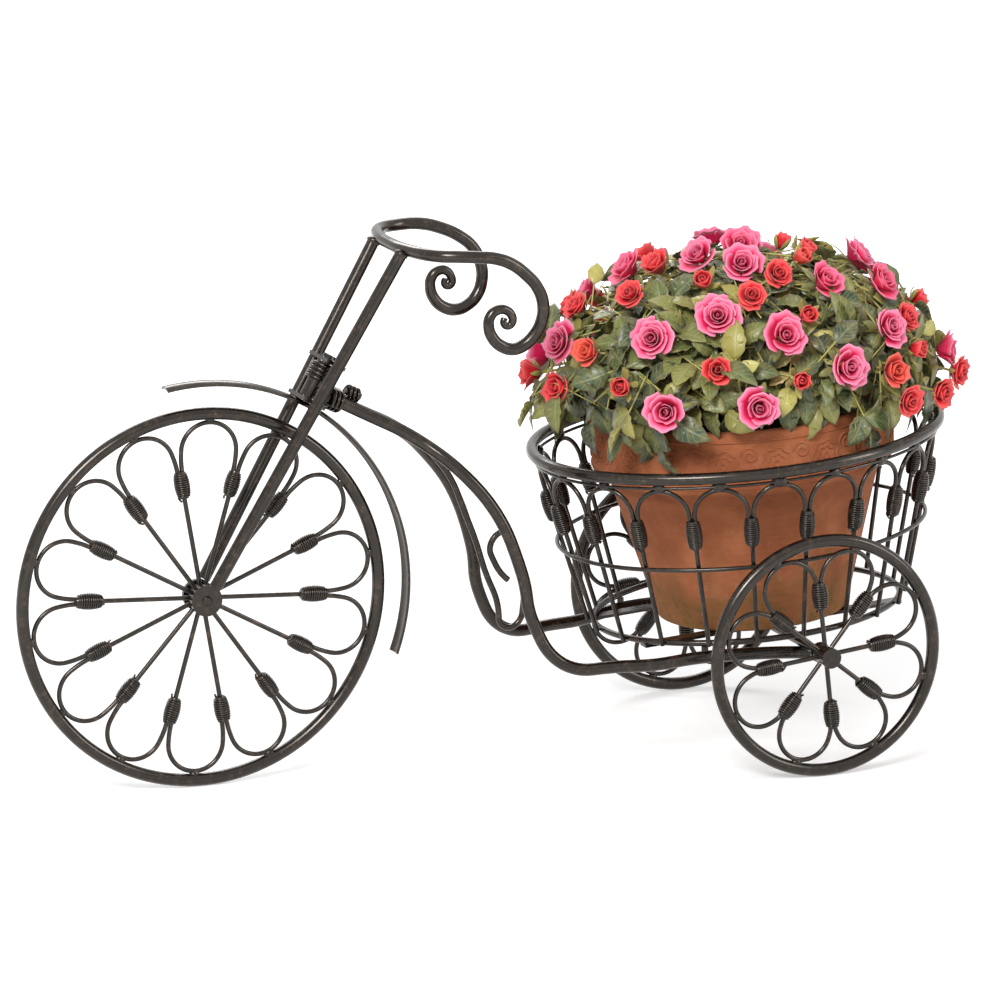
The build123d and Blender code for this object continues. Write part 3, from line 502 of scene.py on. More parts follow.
def rod_part(points, radius, sides=5):
    """A closed thin rod along points, as a part."""
    points = [Vector(p) for p in points]
    flat, quads = [], []
    for index, point in enumerate(points):
        ahead = points[min(index + 1, len(points) - 1)] - points[max(index - 1, 0)]
        turn = ahead.to_track_quat("Z", "Y")
        for side in range(sides):
            angle = math.tau * side / sides
            flat.append(point + turn @ Vector((math.cos(angle), math.sin(angle), 0)) * radius)
            if index:
                ring = (index - 1) * sides
                a, b = ring + side, ring + (side + 1) % sides
                quads.append((a, b, b + sides, a + sides))
    # Each end closes on a point of its own, so a cap's quad has that corner and one side's middle
    start, end = len(flat), len(flat) + 1
    flat += [points[0], points[-1]]
    last = (len(points) - 1) * sides
    for side in range(sides):
        following = (side + 1) % sides
        quads.append((start, following, side, side))
        quads.append((end, last + side, last + following, last + following))
    values = {"along": np.full(len(flat), 0.02), "across": np.full(len(flat), 0.5)}
    return np.array([list(v) for v in flat]), np.array(quads), values


# Geometry Nodes
def new_tree(name, inputs):
    """A tree with one geometry in and out and its named inputs, what it is given, and its result node."""
    tree = bpy.data.node_groups.new(name, "GeometryNodeTree")
    for in_out in ("INPUT", "OUTPUT"):
        tree.interface.new_socket("Geometry", in_out=in_out, socket_type="NodeSocketGeometry")
    for label, kind in inputs.items():
        tree.interface.new_socket(label, in_out="INPUT", socket_type=kind)
    return tree, add(tree, "NodeGroupInput").outputs, add(tree, "NodeGroupOutput")


def set_out(tree, given, thing, stretch=(1, 1, 1), picks=None):
    """Real copies of a thing on the tree's points, turned and sized by what each point says."""
    facing = add(tree, "GeometryNodeInputNamedAttribute", {"Name": "facing"}, data_type="FLOAT_VECTOR")
    size = add(tree, "GeometryNodeInputNamedAttribute", {"Name": "size"}, data_type="FLOAT")
    turned = add(tree, "FunctionNodeEulerToRotation", {0: facing})
    scale = add(tree, "ShaderNodeVectorMath", {0: stretch, "Scale": size}, operation="SCALE")
    copies = {"Points": given["Geometry"], "Instance": thing, "Rotation": turned, "Scale": scale}
    placed = add(tree, "GeometryNodeInstanceOnPoints", {**copies, **(picks or {})})
    return add(tree, "GeometryNodeRealizeInstances", {0: placed})


def hand_over(tree, result, real, material):
    """Smooths and paints the real shape, and makes it the tree's result."""
    smooth = add(tree, "GeometryNodeSetShadeSmooth", {0: real})
    painted = add(tree, "GeometryNodeSetMaterial", {"Geometry": smooth, "Material": material})
    feed(tree, result, {0: painted})
    return tree


def seat(piece, body, slot, stands_for=()):
    """Puts a finished piece on its body and hides the CAD nodes that it stands for; the finish it is given
    is not used.
    """
    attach(piece, body)
    if stands_for:
        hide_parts(*stands_for)


def run(name, source, tree, values, body, slot, stands_for=()):
    """Runs a tree on its points, keeps the result as a plain mesh and puts it on its body."""
    modifier = source.modifiers.new(tree.name, "NODES")
    modifier.node_group = tree
    for socket in tree.interface.items_tree:
        if socket.in_out == "INPUT" and socket.name in values:
            modifier[socket.identifier] = values[socket.name]
    graph = bpy.context.evaluated_depsgraph_get()
    shape = source.evaluated_get(graph)
    mesh = bpy.data.meshes.new_from_object(shape, preserve_all_data_layers=True, depsgraph=graph)
    source.modifiers.clear()
    bpy.data.objects.remove(source)
    seat(new_piece(name, mesh), body, slot, stands_for)


def point_cloud(name, rows):
    """Points for a tree: each row is a place, a rotation matrix, a size, a kind and a tone."""
    mesh = bpy.data.meshes.new(name)
    mesh.from_pydata([tuple(row[0]) for row in rows], [], [])
    facing = [x for row in rows for x in row[1].to_euler("XYZ")]
    mesh.attributes.new("facing", "FLOAT_VECTOR", "POINT").data.foreach_set("vector", facing)
    for key, column, kind in (("size", 2, "FLOAT"), ("kind", 3, "INT"), ("tone", 4, "FLOAT")):
        mesh.attributes.new(key, kind, "POINT").data.foreach_set("value", [row[column] for row in rows])
    return new_piece(name, mesh)


def planting_tree(kinds, material):
    """Sets one of several prototypes on each point, as the point's kind says."""
    tree, given, result = new_tree("planting", {f"Kind {k}": "NodeSocketObject" for k in range(kinds)})
    shelf = add(tree, "GeometryNodeJoinGeometry")
    for k in reversed(range(kinds)):
        info = add(tree, "GeometryNodeObjectInfo", {"Object": given[f"Kind {k}"]})
        feed(tree, shelf, {0: add(tree, "GeometryNodeGeometryToInstance", {0: info.outputs["Geometry"]})})
    kind = add(tree, "GeometryNodeInputNamedAttribute", {"Name": "kind"}, data_type="INT")
    real = set_out(tree, given, shelf, picks={"Pick Instance": True, "Instance Index": kind})
    return hand_over(tree, result, real, material)


def plant(name, rows, meshes, material, slot, stands_for=()):
    """Plants copies of the meshes on points, as a piece of the potted rose."""
    tree = planting_tree(len(meshes), material)
    prototypes = [bpy.data.objects.new(f"{name}_kind_{k}", mesh) for k, mesh in enumerate(meshes)]
    values = {f"Kind {k}": prototype for k, prototype in enumerate(prototypes)}
    run(name, point_cloud(name + "_places", rows), tree, values, "potted_rose", slot, stands_for)
    for prototype in prototypes:
        bpy.data.objects.remove(prototype)


def barrel_radius(tree, given, shrink):
    """The radius of a binding at each point of a curve: the end radius, swelling to the waist."""
    share = add(tree, "GeometryNodeSplineParameter").outputs["Factor"]
    arc = add(tree, "ShaderNodeMath", {0: share, 1: math.pi}, operation="MULTIPLY")
    arc = add(tree, "ShaderNodeMath", {0: arc}, operation="SINE")
    arc = add(tree, "ShaderNodeMath", {0: arc, 1: 0.6}, operation="POWER")
    swell = {0: given["Waist Radius"], 1: given["End Radius"]}
    swell = add(tree, "ShaderNodeMath", swell, operation="SUBTRACT")
    wide = {0: arc, 1: swell, 2: given["End Radius"]}
    wide = add(tree, "ShaderNodeMath", wide, operation="MULTIPLY_ADD")
    return add(tree, "ShaderNodeMath", {0: wide, 1: shrink}, operation="SUBTRACT")


def binding_tree():
    """A barrel of close wire turns round a core, the last turn's end laid down along the spoke."""
    labels = ("Length", "Core Length", "Waist Radius", "End Radius", "Wire Radius", "Turns", "Tail")
    tree, given, result = new_tree("wound_binding", {label: "NodeSocketFloat" for label in labels})
    helix = {"Resolution": 14, "Rotations": given["Turns"], "Height": given["Length"]}
    spiral = add(tree, "GeometryNodeCurveSpiral", {**helix, "Start Radius": 1.0, "End Radius": 1.0})
    radius = barrel_radius(tree, given, given["Wire Radius"])
    stretch = {0: add(tree, "GeometryNodeInputPosition")}
    stretch[1] = add(tree, "ShaderNodeCombineXYZ", {0: radius, 1: radius, 2: 1.0})
    spot = add(tree, "ShaderNodeVectorMath", stretch, operation="MULTIPLY")
    foot = add(tree, "ShaderNodeMath", {0: given["Length"], 1: -0.5}, operation="MULTIPLY")
    down = add(tree, "ShaderNodeCombineXYZ", {2: foot})
    wound = add(tree, "GeometryNodeSetPosition", {"Geometry": spiral, "Position": spot, "Offset": down})
    wire = add(tree, "GeometryNodeCurvePrimitiveCircle", {"Resolution": 6, "Radius": given["Wire Radius"]})
    coil = add(tree, "GeometryNodeCurveToMesh", {0: wound, 1: wire, "Fill Caps": True})

    reach = add(tree, "ShaderNodeMath", {0: given["Core Length"], 1: 0.5}, operation="MULTIPLY")
    top = add(tree, "ShaderNodeCombineXYZ", {2: reach})
    bottom = add(tree, "ShaderNodeVectorMath", {0: top, "Scale": -1.0}, operation="SCALE")
    line = add(tree, "GeometryNodeCurvePrimitiveLine", {"Start": bottom, "End": top})
    fine = add(tree, "GeometryNodeResampleCurve", {"Curve": line, "Count": 12})
    # The core is seen in the grooves between the turns, so it is thinner than they are by 1.4 wires
    groove = add(tree, "ShaderNodeMath", {0: given["Wire Radius"], 1: 1.4}, operation="MULTIPLY")
    thick = barrel_radius(tree, given, groove)
    ring = add(tree, "GeometryNodeCurvePrimitiveCircle", {"Resolution": 12, "Radius": 1.0})
    core = add(tree, "GeometryNodeCurveToMesh", {0: fine, 1: ring, "Scale": thick, "Fill Caps": True})

    past = add(tree, "ShaderNodeMath", {0: foot, 1: given["Tail"]}, operation="SUBTRACT")
    close = add(tree, "ShaderNodeMath", {0: given["End Radius"], 1: 0.72}, operation="MULTIPLY")
    leave = add(tree, "ShaderNodeCombineXYZ", {0: given["End Radius"], 2: foot})
    swing = add(tree, "ShaderNodeCombineXYZ", {0: given["End Radius"], 1: close, 2: foot})
    rest = add(tree, "ShaderNodeCombineXYZ", {1: close, 2: past})
    bow = {"Resolution": 6, "Start": leave, "Middle": swing, "End": rest}
    tail = add(tree, "GeometryNodeCurveQuadraticBezier", bow)
    tail = add(tree, "GeometryNodeCurveToMesh", {0: tail, 1: wire, "Fill Caps": True})

    whole = add(tree, "GeometryNodeJoinGeometry")
    for part in (coil, core, tail):
        feed(tree, whole, {0: part})
    return hand_over(tree, result, set_out(tree, given, whole), bronze)


def weld_tree():
    """Lumps of weld metal, stretched along the joint, none quite like the next."""
    inputs = {"Bead": "NodeSocketFloat", "Stretch": "NodeSocketVector", "Lump": "NodeSocketFloat"}
    tree, given, result = new_tree("weld_bead", inputs)
    ball = add(tree, "GeometryNodeMeshIcoSphere", {"Radius": given["Bead"], "Subdivisions": 3})
    real = set_out(tree, given, ball, given["Stretch"])
    noise = add(tree, "ShaderNodeTexNoise", {"Scale": 1 / mm(2.2), "Detail": 1.0})
    push = add(tree, "ShaderNodeMath", {0: noise, 1: 0.5}, operation="SUBTRACT")
    push = add(tree, "ShaderNodeMath", {0: push, 1: given["Lump"]}, operation="MULTIPLY")
    outward = add(tree, "GeometryNodeInputNormal").outputs[0]
    lump = add(tree, "ShaderNodeVectorMath", {0: outward, "Scale": push}, operation="SCALE")
    moved = add(tree, "GeometryNodeSetPosition", {"Geometry": real, "Offset": lump})
    return hand_over(tree, result, moved, bronze)


def relief_tree():
    """Raised lines pressed on the clay: the curve swept with a small round."""
    tree, given, result = new_tree("pressed_relief", {"Line Radius": "NodeSocketFloat"})
    tip = add(tree, "GeometryNodeCurvePrimitiveCircle", {"Resolution": 6, "Radius": given["Line Radius"]})
    swept = add(tree, "GeometryNodeCurveToMesh", {0: given["Geometry"], 1: tip, "Fill Caps": True})
    return hand_over(tree, result, add(tree, "GeometryNodeRealizeInstances", {0: swept}), terracotta)


# What the CAD model says about its solids
def solids_of(node):
    """The corner points of each separate solid of a CAD node."""
    shape = bmesh.new()
    shape.from_mesh(nodes[node].data)
    bmesh.ops.remove_doubles(shape, verts=shape.verts, dist=mm(0.01))
    shape.verts.index_update()
    shape.verts.ensure_lookup_table()
    seen, groups = set(), []
    for first in shape.verts:
        if first.index in seen:
            continue
        seen.add(first.index)
        front, group = [first], []
        while front:
            vert = front.pop()
            group.append(vert.co[:])
            for edge in vert.link_edges:
                other = edge.other_vert(vert)
                if other.index not in seen:
                    seen.add(other.index)
                    front.append(other)
        groups.append(np.array(group))
    shape.free()
    return groups


def axis_of(points, longest):
    """Middle and main axis of a solid: its long way, or its short way."""
    middle = points.mean(0)
    _, ways = np.linalg.eigh(np.cov((points - middle).T))
    return Vector(middle), Vector(ways[:, -1] if longest else ways[:, 0])


def turned_to(way, spin):
    """A rotation that turns Z to a way, then spins about it."""
    return (way.to_track_quat("Z", "Y").to_matrix() @ Matrix.Rotation(spin, 3, "Z")).copy()


def squared_to(way, beside):
    """A rotation that turns Z to a way and Y as near as it can to another way."""
    across = beside.cross(way).normalized()
    return Matrix((across, way.cross(across).normalized(), way.normalized())).transposed()


# Every CAD node gets the finish of the real piece
finishes = {"terracotta_pot": terracotta, "soil": peat, "foliage": leaf_cloth, "rose_blooms": pink_cloth}
finishes["rose_buds"] = red_cloth
for label, node in nodes.items():
    node.data.materials.clear()
    node.data.materials.append(finishes.get(label, bronze))

# Wound bindings and weld beads of the wheels and the basket
wound, beads = binding_tree(), weld_tree()
dice = random.Random(7)
axle_way = Vector((0, 1, 0))
basket_heart = Vector([mm(x) for x in pot_foot])
wheel_hubs = {"front_wheel": front_hub, "rear_wheel_left": rear_hub, "rear_wheel_right": rear_hub}
for body, hub in {**wheel_hubs, "basket": None}.items():
    heart = Vector([mm(x) for x in hub]) if hub else basket_heart
    rows, welds = [], []
    for solid in solids_of(body + "_bindings"):
        middle, way = axis_of(solid, True)
        outward = along_pot
        if hub:
            heart.y = middle.y
            outward = middle - heart
        if way.dot(outward) < 0:
            way = -way
        rows.append((middle, turned_to(way, dice.uniform(0, math.tau)), dice.uniform(0.97, 1.04), 0, 0.0))
    for solid in solids_of(body + "_petals" if hub else "basket_arches"):
        # A wheel's bead lies between the arch and the rim, a clip of the basket over both
        if hub:
            heart.y = solid[:, 1].mean()
            far = np.linalg.norm(solid - np.array(heart), axis=1)
            way = (Vector(solid[far.argmax()]) - heart).normalized()
            shift, turn, most = way * mm(1.2), squared_to(way, axle_way), 1.15
        else:
            far = solid @ np.array(along_pot)
        top = Vector(solid[far > far.max() - mm(1.2)].mean(0))
        if not hub:
            outward = top - heart
            outward = (outward - along_pot * outward.dot(along_pot)).normalized()
            shift = along_pot * mm(1.4) + outward * mm(0.9)
            turn, most = squared_to(along_pot, outward), 1.1
        welds.append((top + shift, turn, dice.uniform(0.9, most), 0, 0.0))
    longer = 1.0 if hub else basket_binding_share
    sizes = {
        "Length": mm(binding_length) * longer,
        "Core Length": mm(binding_core) * longer,
        "Waist Radius": mm(binding_waist),
        "End Radius": mm(binding_end),
        "Wire Radius": mm(binding_wire),
        "Turns": binding_turns * longer,
        "Tail": mm(binding_tail),
    }
    bead = {"Bead": mm(bead_size), "Stretch": (1.35, 1.0, 1.05), "Lump": mm(1.1)}
    clip = {"Bead": mm(clip_size), "Stretch": (1.7, 1.0, 1.3), "Lump": mm(1.1)}
    rides_on = body if hub else "frame"
    places = point_cloud(body + "_binding_places", rows)
    run(body + "_wound_wire", places, wound, sizes, rides_on, "bronzed_steel", [body + "_bindings"])
    places = point_cloud(body + "_weld_places", welds)
    run(body + "_weld_beads", places, beads, bead if hub else clip, rides_on, "bronzed_steel")


# Handlebar: one tube from curl to curl, drawn thinner towards the tips
bar_curve = bpy.data.curves.new("handlebar_tube", "CURVE")
bar_curve.dimensions = "3D"
bar_curve.bevel_depth = mm(bar_radius)
bar_curve.bevel_resolution = 5
bar_curve.resolution_u = 6
bar_curve.use_fill_caps = True
bar_points = near_arm[::-1] + [(-63, 0, 336.8)] + far_arm
bar_line = bar_curve.splines.new("BEZIER")
bar_line.bezier_points.add(len(bar_points) - 1)
for index, (point, place) in enumerate(zip(bar_line.bezier_points, bar_points)):
    point.co = [mm(x) for x in place]
    point.handle_left_type = point.handle_right_type = "AUTO"
    to_tip = min(index, len(bar_points) - 1 - index)
    point.radius = min(1.0, 0.5 + 0.05 * to_tip)
bar_shape = new_piece("handlebar_shape", bar_curve)
bar_mesh = bpy.data.meshes.new_from_object(bar_shape.evaluated_get(bpy.context.evaluated_depsgraph_get()))
bpy.data.objects.remove(bar_shape)
bar_mesh.name = "handlebar_tube"
bar_mesh.shade_smooth()
seat(new_piece("handlebar_tube", bar_mesh, bronze), "fork", "bronzed_steel", ["handlebar"])

steering_way = Vector((0.5, 0, math.sqrt(3) / 2))
leg_welds = []
for side in ("left", "right"):
    leg_low, leg_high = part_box("fork_leg_" + side)
    middle = max(leg_low[1], leg_high[1], key=abs)
    middle -= math.copysign(mm(bar_radius), middle)
    head = Vector((mm(leg_head[0]), middle, mm(leg_head[1])))
    leg_welds.append((head + steering_way * mm(1.2), squared_to(steering_way, axle_way), 1.0, 0, 0.0))
places = point_cloud("leg_weld_places", leg_welds)
collar = {"Bead": mm(4.6), "Stretch": (1.0, 1.0, 0.62), "Lump": mm(0.8)}
run("leg_welds", places, beads, collar, "fork", "bronzed_steel")

# Neck ring: a thinner wire that hangs clear of the rim between the clips
ring_mesh = nodes["basket_neck_ring"].data.copy()
ring_mesh.name = "neck_wire"
ring_normals = [corner.vector.copy() for corner in ring_mesh.vertex_normals]
for vertex, normal in zip(ring_mesh.vertices, ring_normals):
    shrink = normal * mm(neck_ring_radius - neck_wire_radius)
    vertex.co = vertex.co - shrink - along_pot * mm(neck_wire_drop)
seat(new_piece("neck_wire", ring_mesh), "frame", "bronzed_steel", ["basket_neck_ring"])


# Pot, turned on the wheel: a full belly under the band, rounded at the lip and the foot
def turned_pot():
    """The pot as a mesh of revolution, from the drain hole round to the inside floor."""
    lip = pot_mouth - 3.5
    profile = [
        (drain_radius, 0.0),
        (pot_base_radius - 1.6, 0.0),
        (pot_base_radius - 0.4, 0.6),
        (pot_base_radius, 1.8),
        (pot_waist_radius - 0.8, band_foot - 2.4),
        (pot_waist_radius + 0.4, band_foot - 0.4),
        (pot_band_radius - 3.2, band_foot),
        (pot_band_radius - 1.0, band_foot + 0.9),
        (pot_band_radius, band_foot + 3.2),
        (pot_band_radius, lip),
        (pot_band_radius - 0.9, lip + 2.4),
        (pot_band_radius - 3.5, lip + 3.5),
        (pot_inside_mouth + 0.9, lip + 2.4),
        (pot_inside_mouth, lip),
        (pot_inside_waist, band_foot),
        (pot_inside_base, pot_floor),
        (drain_radius, pot_floor),
    ]
    sides, rings = 128, len(profile)
    points, faces = [], []
    for side in range(sides):
        angle = math.tau * side / sides
        for radius, height in profile:
            place = Vector((radius * math.cos(angle), radius * math.sin(angle), height))
            points.append(pot_frame @ (place / 1000))
        for ring in range(rings):
            here, after = side * rings, (side + 1) % sides * rings
            faces.append((here + ring, after + ring, after + (ring + 1) % rings, here + (ring + 1) % rings))
    mesh = bpy.data.meshes.new("turned_pot")
    mesh.from_pydata(points, [], faces)
    mesh.shade_smooth()
    mesh.set_sharp_from_angle(angle=math.radians(50))
    return mesh


seat(new_piece("turned_pot", turned_pot(), terracotta), "potted_rose", "terracotta", ["terracotta_pot"])


# Relief on the pot's band: rosettes between pairs of scrolls
def on_band(turn, height):
    """A point on the band from a length round it and a height above its foot, in millimetres."""
    angle = turn / pot_band_radius
    out = Vector((math.cos(angle), math.sin(angle), 0)) * pot_band_radius
    return pot_frame @ ((out + Vector((0, 0, band_foot + height))) / 1000)


def band_lines():
    """The lines of the relief as lists of points."""
    repeats = 18
    level = 20.5
    pitch = math.tau * pot_band_radius / repeats
    lines = []
    for unit in range(repeats):
        centre = unit * pitch
        for radius, lobes, depth in ((9.2, 7, 0.16), (5.6, 7, 0.2)):
            line = []
            for k in range(85):
                angle = math.tau * k / 84
                reach = radius * (1 + depth * abs(math.sin(lobes * angle / 2)) - depth / 2)
                line.append((centre + reach * math.cos(angle), level + reach * math.sin(angle)))
            lines.append(line)
        lines.append([(centre + 2 * math.cos(a / 3), level + 2 * math.sin(a / 3)) for a in range(20)])
        for side in (-1, 1):
            line = []
            for k in range(41):
                angle = 1.5 * math.tau * k / 40
                reach = 1.2 + 4.6 * k / 40
                along = centre + pitch / 2 + side * reach * math.cos(angle)
                line.append((along, level + side * (6 + reach * math.sin(angle))))
            lines.append(line)
    for height in (5.5, 35.5):
        lines.append([(pitch * repeats * k / 180, height) for k in range(181)])
    return lines


relief_curve = bpy.data.curves.new("band_relief_lines", "CURVE")
relief_curve.dimensions = "3D"
for line in band_lines():
    spline = relief_curve.splines.new("POLY")
    spline.points.add(len(line) - 1)
    for point, (turn, height) in zip(spline.points, line):
        point.co = (*on_band(turn, height), 1)
relief = new_piece("band_relief_lines", relief_curve)
run("pot_band_relief", relief, relief_tree(), {"Line Radius": mm(0.75)}, "potted_rose", "terracotta")


# Rose bush
def on_bush(turn, rise, swell):
    """Place and outward way on the mound: a share of a turn, a share of the height, and a scale."""
    level = math.sqrt(max(0.0, 1 - rise * rise))
    out = Vector((math.cos(math.tau * turn) * level, math.sin(math.tau * turn) * level, rise))
    half = Vector((bush_half_length, bush_half_width, bush_height))
    place = Vector((out.x * half.x, out.y * half.y, out.z * half.z)) * swell + Vector((0, 0, bush_base))
    way = Vector((out.x / half.x, out.y / half.y, out.z / half.z))
    return pot_frame @ (place / 1000), (pot_frame.to_3x3() @ way).normalized()


bush_heart = pot_frame @ Vector((0, 0, mm(bush_base - 10)))


def flower_rows(node, kinds, seed, size):
    """Reads where the CAD's flower heads are; each one nods outwards, as its wire stem bends."""
    rng = random.Random(seed)
    rows = []
    for solid in solids_of(node):
        middle, way = axis_of(solid, False)
        if way.dot(middle - bush_heart) < 0:
            way = -way
        level = middle - bush_heart
        level.z = 0
        nod = level.normalized() * 0.55 + Vector((0, -0.25, 0))
        tilt = Vector((rng.uniform(-1, 1), rng.uniform(-1, 1), rng.uniform(-1, 1))) * 0.16
        way = (way + nod + tilt).normalized()
        half = (solid @ np.array(way)).max() - middle.dot(way)
        place = middle - way * half * 0.7
        spin = rng.uniform(0, math.tau)
        own_size = size * rng.uniform(0.92, 1.06)
        rows.append((place, turned_to(way, spin), own_size, rng.randrange(kinds), rng.random()))
    return rows


bloom_rows = flower_rows("rose_blooms", 3, 11, 1.0)
bud_rows = flower_rows("rose_buds", 3, 12, 1.0)
# Three buds hang over the rear of the rim, lower than the heads of the CAD model
for turn, rise, swell, spin in ((0.93, -0.12, 1.1, 0.4), (0.88, -0.16, 1.1, 1.9), (0.84, -0.14, 1.06, 3.1)):
    place, way = on_bush(turn, rise, swell)
    bud_rows.append((place, turned_to((way + Vector((0, -0.5, 0.1))).normalized(), spin), 1.0, 1, 0.3))
bloom_places = [row[0] for row in bloom_rows]
bloom_kinds = [
    flower("open_rose", mm(bloom_size), open_rose, 1),
    flower("cupped_rose", mm(bloom_size), cupped_rose, 2),
    flower("wide_rose", mm(bloom_size), wide_rose, 3),
]
bud_kinds = [
    flower("half_open_bud", mm(bud_size), half_open_bud, 4),
    flower("small_rose", mm(bud_size), small_rose, 5),
    flower("closed_bud", mm(bud_size), closed_bud, 6),
]
plant("pink_roses", bloom_rows, bloom_kinds, pink_cloth, "pink_petals", ["rose_blooms"])
plant("red_roses", bud_rows, bud_kinds, red_cloth, "red_petals", ["rose_buds"])

# Leaf kinds: fold along the rib, droop of the tip as a share, twist
leaf_shapes = [(14, 0.1, 8), (30, 0.24, -12), (20, 0.34, 16), (8, 0.16, -6), (36, 0.06, 4)]
leaf_kinds = [
    leaf(f"leaf_{k}", mm(leaf_length), mm(leaf_width), math.radians(fold), droop, math.radians(twist))
    for k, (fold, droop, twist) in enumerate(leaf_shapes)
]
stalk_line = [(0, mm(leaf_length * share), -mm(share)) for share in (-0.35, 0.1, 0.55, 1.0)]
stalk_kind = joined("leaf_stalk", [rod_part(stalk_line, mm(stem_thickness * 0.7), 4)])
leaf_kinds.append(stalk_kind)


def hides_flower(spot):
    """Whether a leaf in this place would lie over a flower, seen from outside or from the front."""
    for flower_place, facing, _, _, _ in bloom_rows + bud_rows:
        reach = mm(bloom_size) if flower_place in bloom_places else mm(bud_size)
        apart = spot - flower_place
        for way in (facing.col[2], (camera_place - flower_place).normalized()):
            ahead = apart.dot(way)
            if mm(1) < ahead < mm(70) and (apart - way * ahead).length < reach * 0.95:
                return True
    return False


def spray_turn(way, rng, droop, lift):
    """Turns a spray so that its blades face outwards and its stalk runs downhill or any way."""
    down = Vector((0, 0, -1)) - way * Vector((0, 0, -1)).dot(way)
    any_way = Vector((rng.gauss(0, 1), rng.gauss(0, 1), rng.gauss(0, 1)))
    any_way = any_way - way * any_way.dot(way)
    if down.length > 0.05:
        run_way = down.normalized() * droop + any_way.normalized() * (1 - abs(droop))
    else:
        run_way = any_way
    run_way = (run_way.normalized() + way * lift).normalized()
    side = run_way.cross(way).normalized()
    up = side.cross(run_way).normalized()
    return Matrix((side, run_way, up)).transposed() @ Matrix.Rotation(rng.uniform(-0.7, 0.7), 3, "Y")


def spray_rows(place, turn, size, tone, rng):
    """One stalk with three or five leaves: one at its tip and the others in pairs."""
    leaves = [(1.0, 0.0, 1.0)]
    for pair in range(rng.choice((1, 1, 2))):
        for side in (-1, 1):
            leaves.append((0.62 - 0.5 * pair, side * rng.uniform(46, 70), 0.88 - 0.1 * pair))
    rows = [(place, turn, size, len(leaf_kinds) - 1, 0.8)]
    for share, angle, scale in leaves:
        foot = place + turn @ Vector((0, mm(leaf_length * share * size * 0.95), -mm(share)))
        bend = Matrix.Rotation(math.radians(-angle), 3, "Z")
        roll = Matrix.Rotation(math.radians(rng.uniform(-26, 26)), 3, "Y")
        pitch = Matrix.Rotation(math.radians(rng.uniform(-26, 16)), 3, "X")
        own_tone = min(0.99, max(0.0, tone + rng.uniform(-0.14, 0.14)))
        own_size = size * scale * rng.uniform(0.85, 1.12) * (0.72 if own_tone > 0.78 else 1.0)
        own_turn = turn @ bend @ roll @ pitch
        own_kind = rng.randrange(len(leaf_kinds) - 1)
        if not hides_flower(foot + own_turn @ Vector((0, mm(leaf_length * 0.5 * own_size), 0))):
            rows.append((foot, own_turn, own_size, own_kind, own_tone))
    return rows


def leaf_rows(count, turns, rises, swell, tones, droops, lifts, seed):
    """Sprays spread evenly over a stretch of the mound, kept back from the faces of the flowers."""
    rng = random.Random(seed)
    rows, tips = [], []
    for index in range(count):
        rise = rises[0] + (rises[1] - rises[0]) * (index + rng.random()) / count
        turn = turns[0] + (turns[1] - turns[0]) * ((index * 0.618034 + rng.uniform(-0.02, 0.02)) % 1)
        place, way = on_bush(turn, min(rise, 0.995), rng.uniform(*swell))
        for flower_place, facing, _, _, _ in bloom_rows + bud_rows:
            apart = place - flower_place
            if apart.length < mm(20) and apart.dot(facing.col[2]) > -mm(4):
                place = place - facing.col[2] * (apart.dot(facing.col[2]) + mm(6))
        fall = droops[0] + (droops[1] - droops[0]) * min(1, (rise - rises[0]) / 0.3)
        lift = rng.uniform(*lifts) * (1 - 0.6 * rise)
        size = rng.uniform(0.74, 1.08)
        tone = min(0.98, max(0.0, rng.triangular(*tones)))
        rows += spray_rows(place, spray_turn(way, rng, fall, lift), size, tone, rng)
        tips.append(place)
    return rows, tips


# Stretches of the mound as shares of a turn from the rear: all round, the crown, fringes over the rim
stretches = [
    (210, (0, 1), (0.1, 0.98), (0.86, 0.97), (0.0, 0.94, 0.36), (-0.4, 0.35), (-0.2, 0.7), 31),
    (46, (0, 1), (0.74, 1.0), (0.93, 1.0), (0.0, 0.9, 0.3), (0.0, 0.0), (-0.2, 0.3), 38),
    (4, (0.47, 0.55), (0.06, 0.16), (0.94, 1.02), (0.45, 0.86, 0.7), (0.1, 0.1), (0.9, 1.4), 39),
    (3, (0.59, 0.62), (-0.04, 0.1), (0.86, 0.92), (0.0, 0.7, 0.3), (0.8, 0.8), (-0.1, 0.3), 32),
    (12, (0.8, 1.0), (-0.04, 0.1), (0.84, 0.96), (0.0, 0.8, 0.3), (0.7, 0.7), (-0.1, 0.4), 34),
    (34, (0.4, 0.92), (0.05, 0.2), (0.8, 0.9), (0.0, 0.7, 0.2), (-0.1, -0.1), (-0.3, 0.3), 37),
    (26, (0, 0.4), (-0.1, 0.08), (0.86, 0.98), (0.0, 0.8, 0.3), (0.75, 0.75), (-0.1, 0.4), 36),
]
outer_rows, outer_tips = [], []
for stretch in stretches:
    rows, tips = leaf_rows(*stretch)
    outer_rows += rows
    outer_tips += tips
# Inner sprays take tones near the dark end of the leaf colours: painted shade deep in the bush
shade_dark_within = (110, (0, 1), (-0.05, 0.97), (0.6, 0.8), (0.0, 0.5, 0.05), (0.0, 0.2), (-0.2, 0.6), 33)
shade_dark_inner_rows, _ = leaf_rows(*shade_dark_within)
plant("rose_leaves", outer_rows, leaf_kinds, leaf_cloth, "rose_leaves", ["foliage"])
plant("inner_rose_leaves", shade_dark_inner_rows, leaf_kinds, leaf_cloth, "rose_leaves")

calyx_kinds = [
    calyx("bloom_calyx", mm(bloom_size), folded_sepals, 41),
    calyx("bud_calyx", mm(bud_size), sepals, 42),
]
calyx_rows = [(p, r, s, 0, 0.55) for p, r, s, _, _ in bloom_rows]
calyx_rows += [(p, r, s, 1, 0.75) for p, r, s, _, _ in bud_rows]
plant("rose_calyxes", calyx_rows, calyx_kinds, leaf_cloth, "rose_leaves")


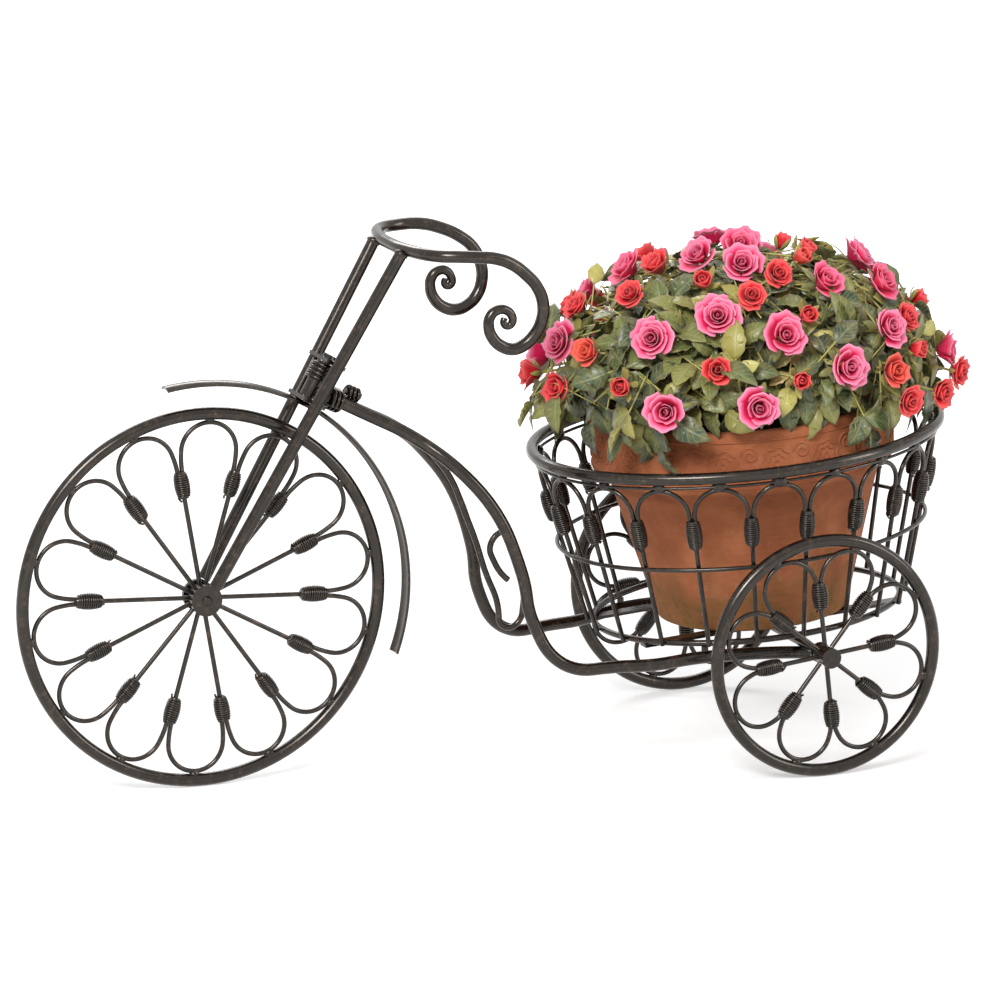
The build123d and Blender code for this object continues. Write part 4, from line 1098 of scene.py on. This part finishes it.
def stems(tips):
    """Wire stems from the soil to every flower and to some of the sprays."""
    rng = random.Random(51)
    parts = []
    for tip in tips:
        angle, reach = rng.uniform(0, math.tau), rng.uniform(8, 58)
        foot = pot_frame @ (Vector((reach * math.cos(angle), reach * math.sin(angle), soil_height)) / 1000)
        bend = foot + along_pot * mm(42) + (tip - foot) * 0.25
        line = []
        for k in range(9):
            t = k / 8
            line.append(foot * (1 - t) ** 2 + bend * 2 * t * (1 - t) + tip * t * t)
        parts.append(rod_part(line, mm(stem_thickness)))
    mesh = joined("rose_stems", parts)
    mesh.attributes.new("tone", "FLOAT", "POINT").data.foreach_set("value", [0.7] * len(mesh.vertices))
    seat(new_piece("rose_stems", mesh, leaf_cloth), "potted_rose", "rose_leaves")


stems([row[0] for row in bloom_rows + bud_rows] + outer_tips[::3])

# Paper sweep, camera and light
sweep = bmesh.new()
bmesh.ops.create_circle(sweep, cap_ends=True, segments=96, radius=30)
sweep_mesh = bpy.data.meshes.new("paper_sweep")
sweep.to_mesh(sweep_mesh)
sweep.free()
new_piece("paper_sweep", sweep_mesh, make_floor())

camera = bpy.data.objects.new("camera", bpy.data.cameras.new("camera"))
bpy.context.scene.collection.objects.link(camera)
bpy.context.scene.camera = camera
camera.data.lens = 247.1
camera.data.sensor_width = 36.0
turn, pitch, roll = (math.radians(x) for x in (21.57, 12.90, 0.20))
ahead = Vector((math.sin(turn) * math.cos(pitch), math.cos(turn) * math.cos(pitch), -math.sin(pitch)))
right = Vector((math.cos(turn), -math.sin(turn), 0))
upward = right.cross(ahead)
right, upward = (
    right * math.cos(roll) + upward * math.sin(roll),
    upward * math.cos(roll) - right * math.sin(roll),
)
seat = Matrix((right, upward, -ahead)).transposed().to_4x4()
seat.translation = camera_place
camera.matrix_world = seat
camera.data.clip_start = 0.05
camera.data.clip_end = 200


def lamp(name, place, aim, width, height, power):
    """A soft lamp that faces a point."""
    light = bpy.data.lights.new(name, "AREA")
    light.shape = "RECTANGLE"
    light.size, light.size_y = width, height
    light.energy = power
    piece = bpy.data.objects.new(name, light)
    bpy.context.scene.collection.objects.link(piece)
    piece.location = place
    piece.rotation_euler = (Vector(aim) - Vector(place)).to_track_quat("-Z", "Y").to_euler()


lamp("key_softbox", (-1.5, -1.9, 2.0), (0, 0, 0.15), 1.15, 0.85, 72)
lamp("fill_softbox", (2.2, -1.6, 1.2), (0, 0, 0.15), 0.6, 1.5, 22)
lamp("back_softbox", (0.3, 2.2, 1.8), (0, 0, 0.2), 1.8, 0.7, 30)

world = bpy.data.worlds.new("studio")
bpy.context.scene.world = world
world.use_nodes = True
sky = world.node_tree
ray = add(sky, "ShaderNodeLightPath").outputs
shown = add(sky, "ShaderNodeMath", {0: ray["Is Camera Ray"], 1: ray["Is Glossy Ray"]}, operation="MAXIMUM")
air = sky.nodes["Background"]
air.inputs["Color"].default_value = (1, 1, 1, 1)
air.inputs["Strength"].default_value = 0.4
white = add(sky, "ShaderNodeBackground", {0: "#FFFFFF", 1: 1.0})
both_airs = add(sky, "ShaderNodeMixShader", {0: shown, 1: air, 2: white})
sky.links.new(both_airs.outputs[0], sky.nodes["World Output"].inputs["Surface"])

bpy.context.scene.view_settings.view_transform = "Standard"
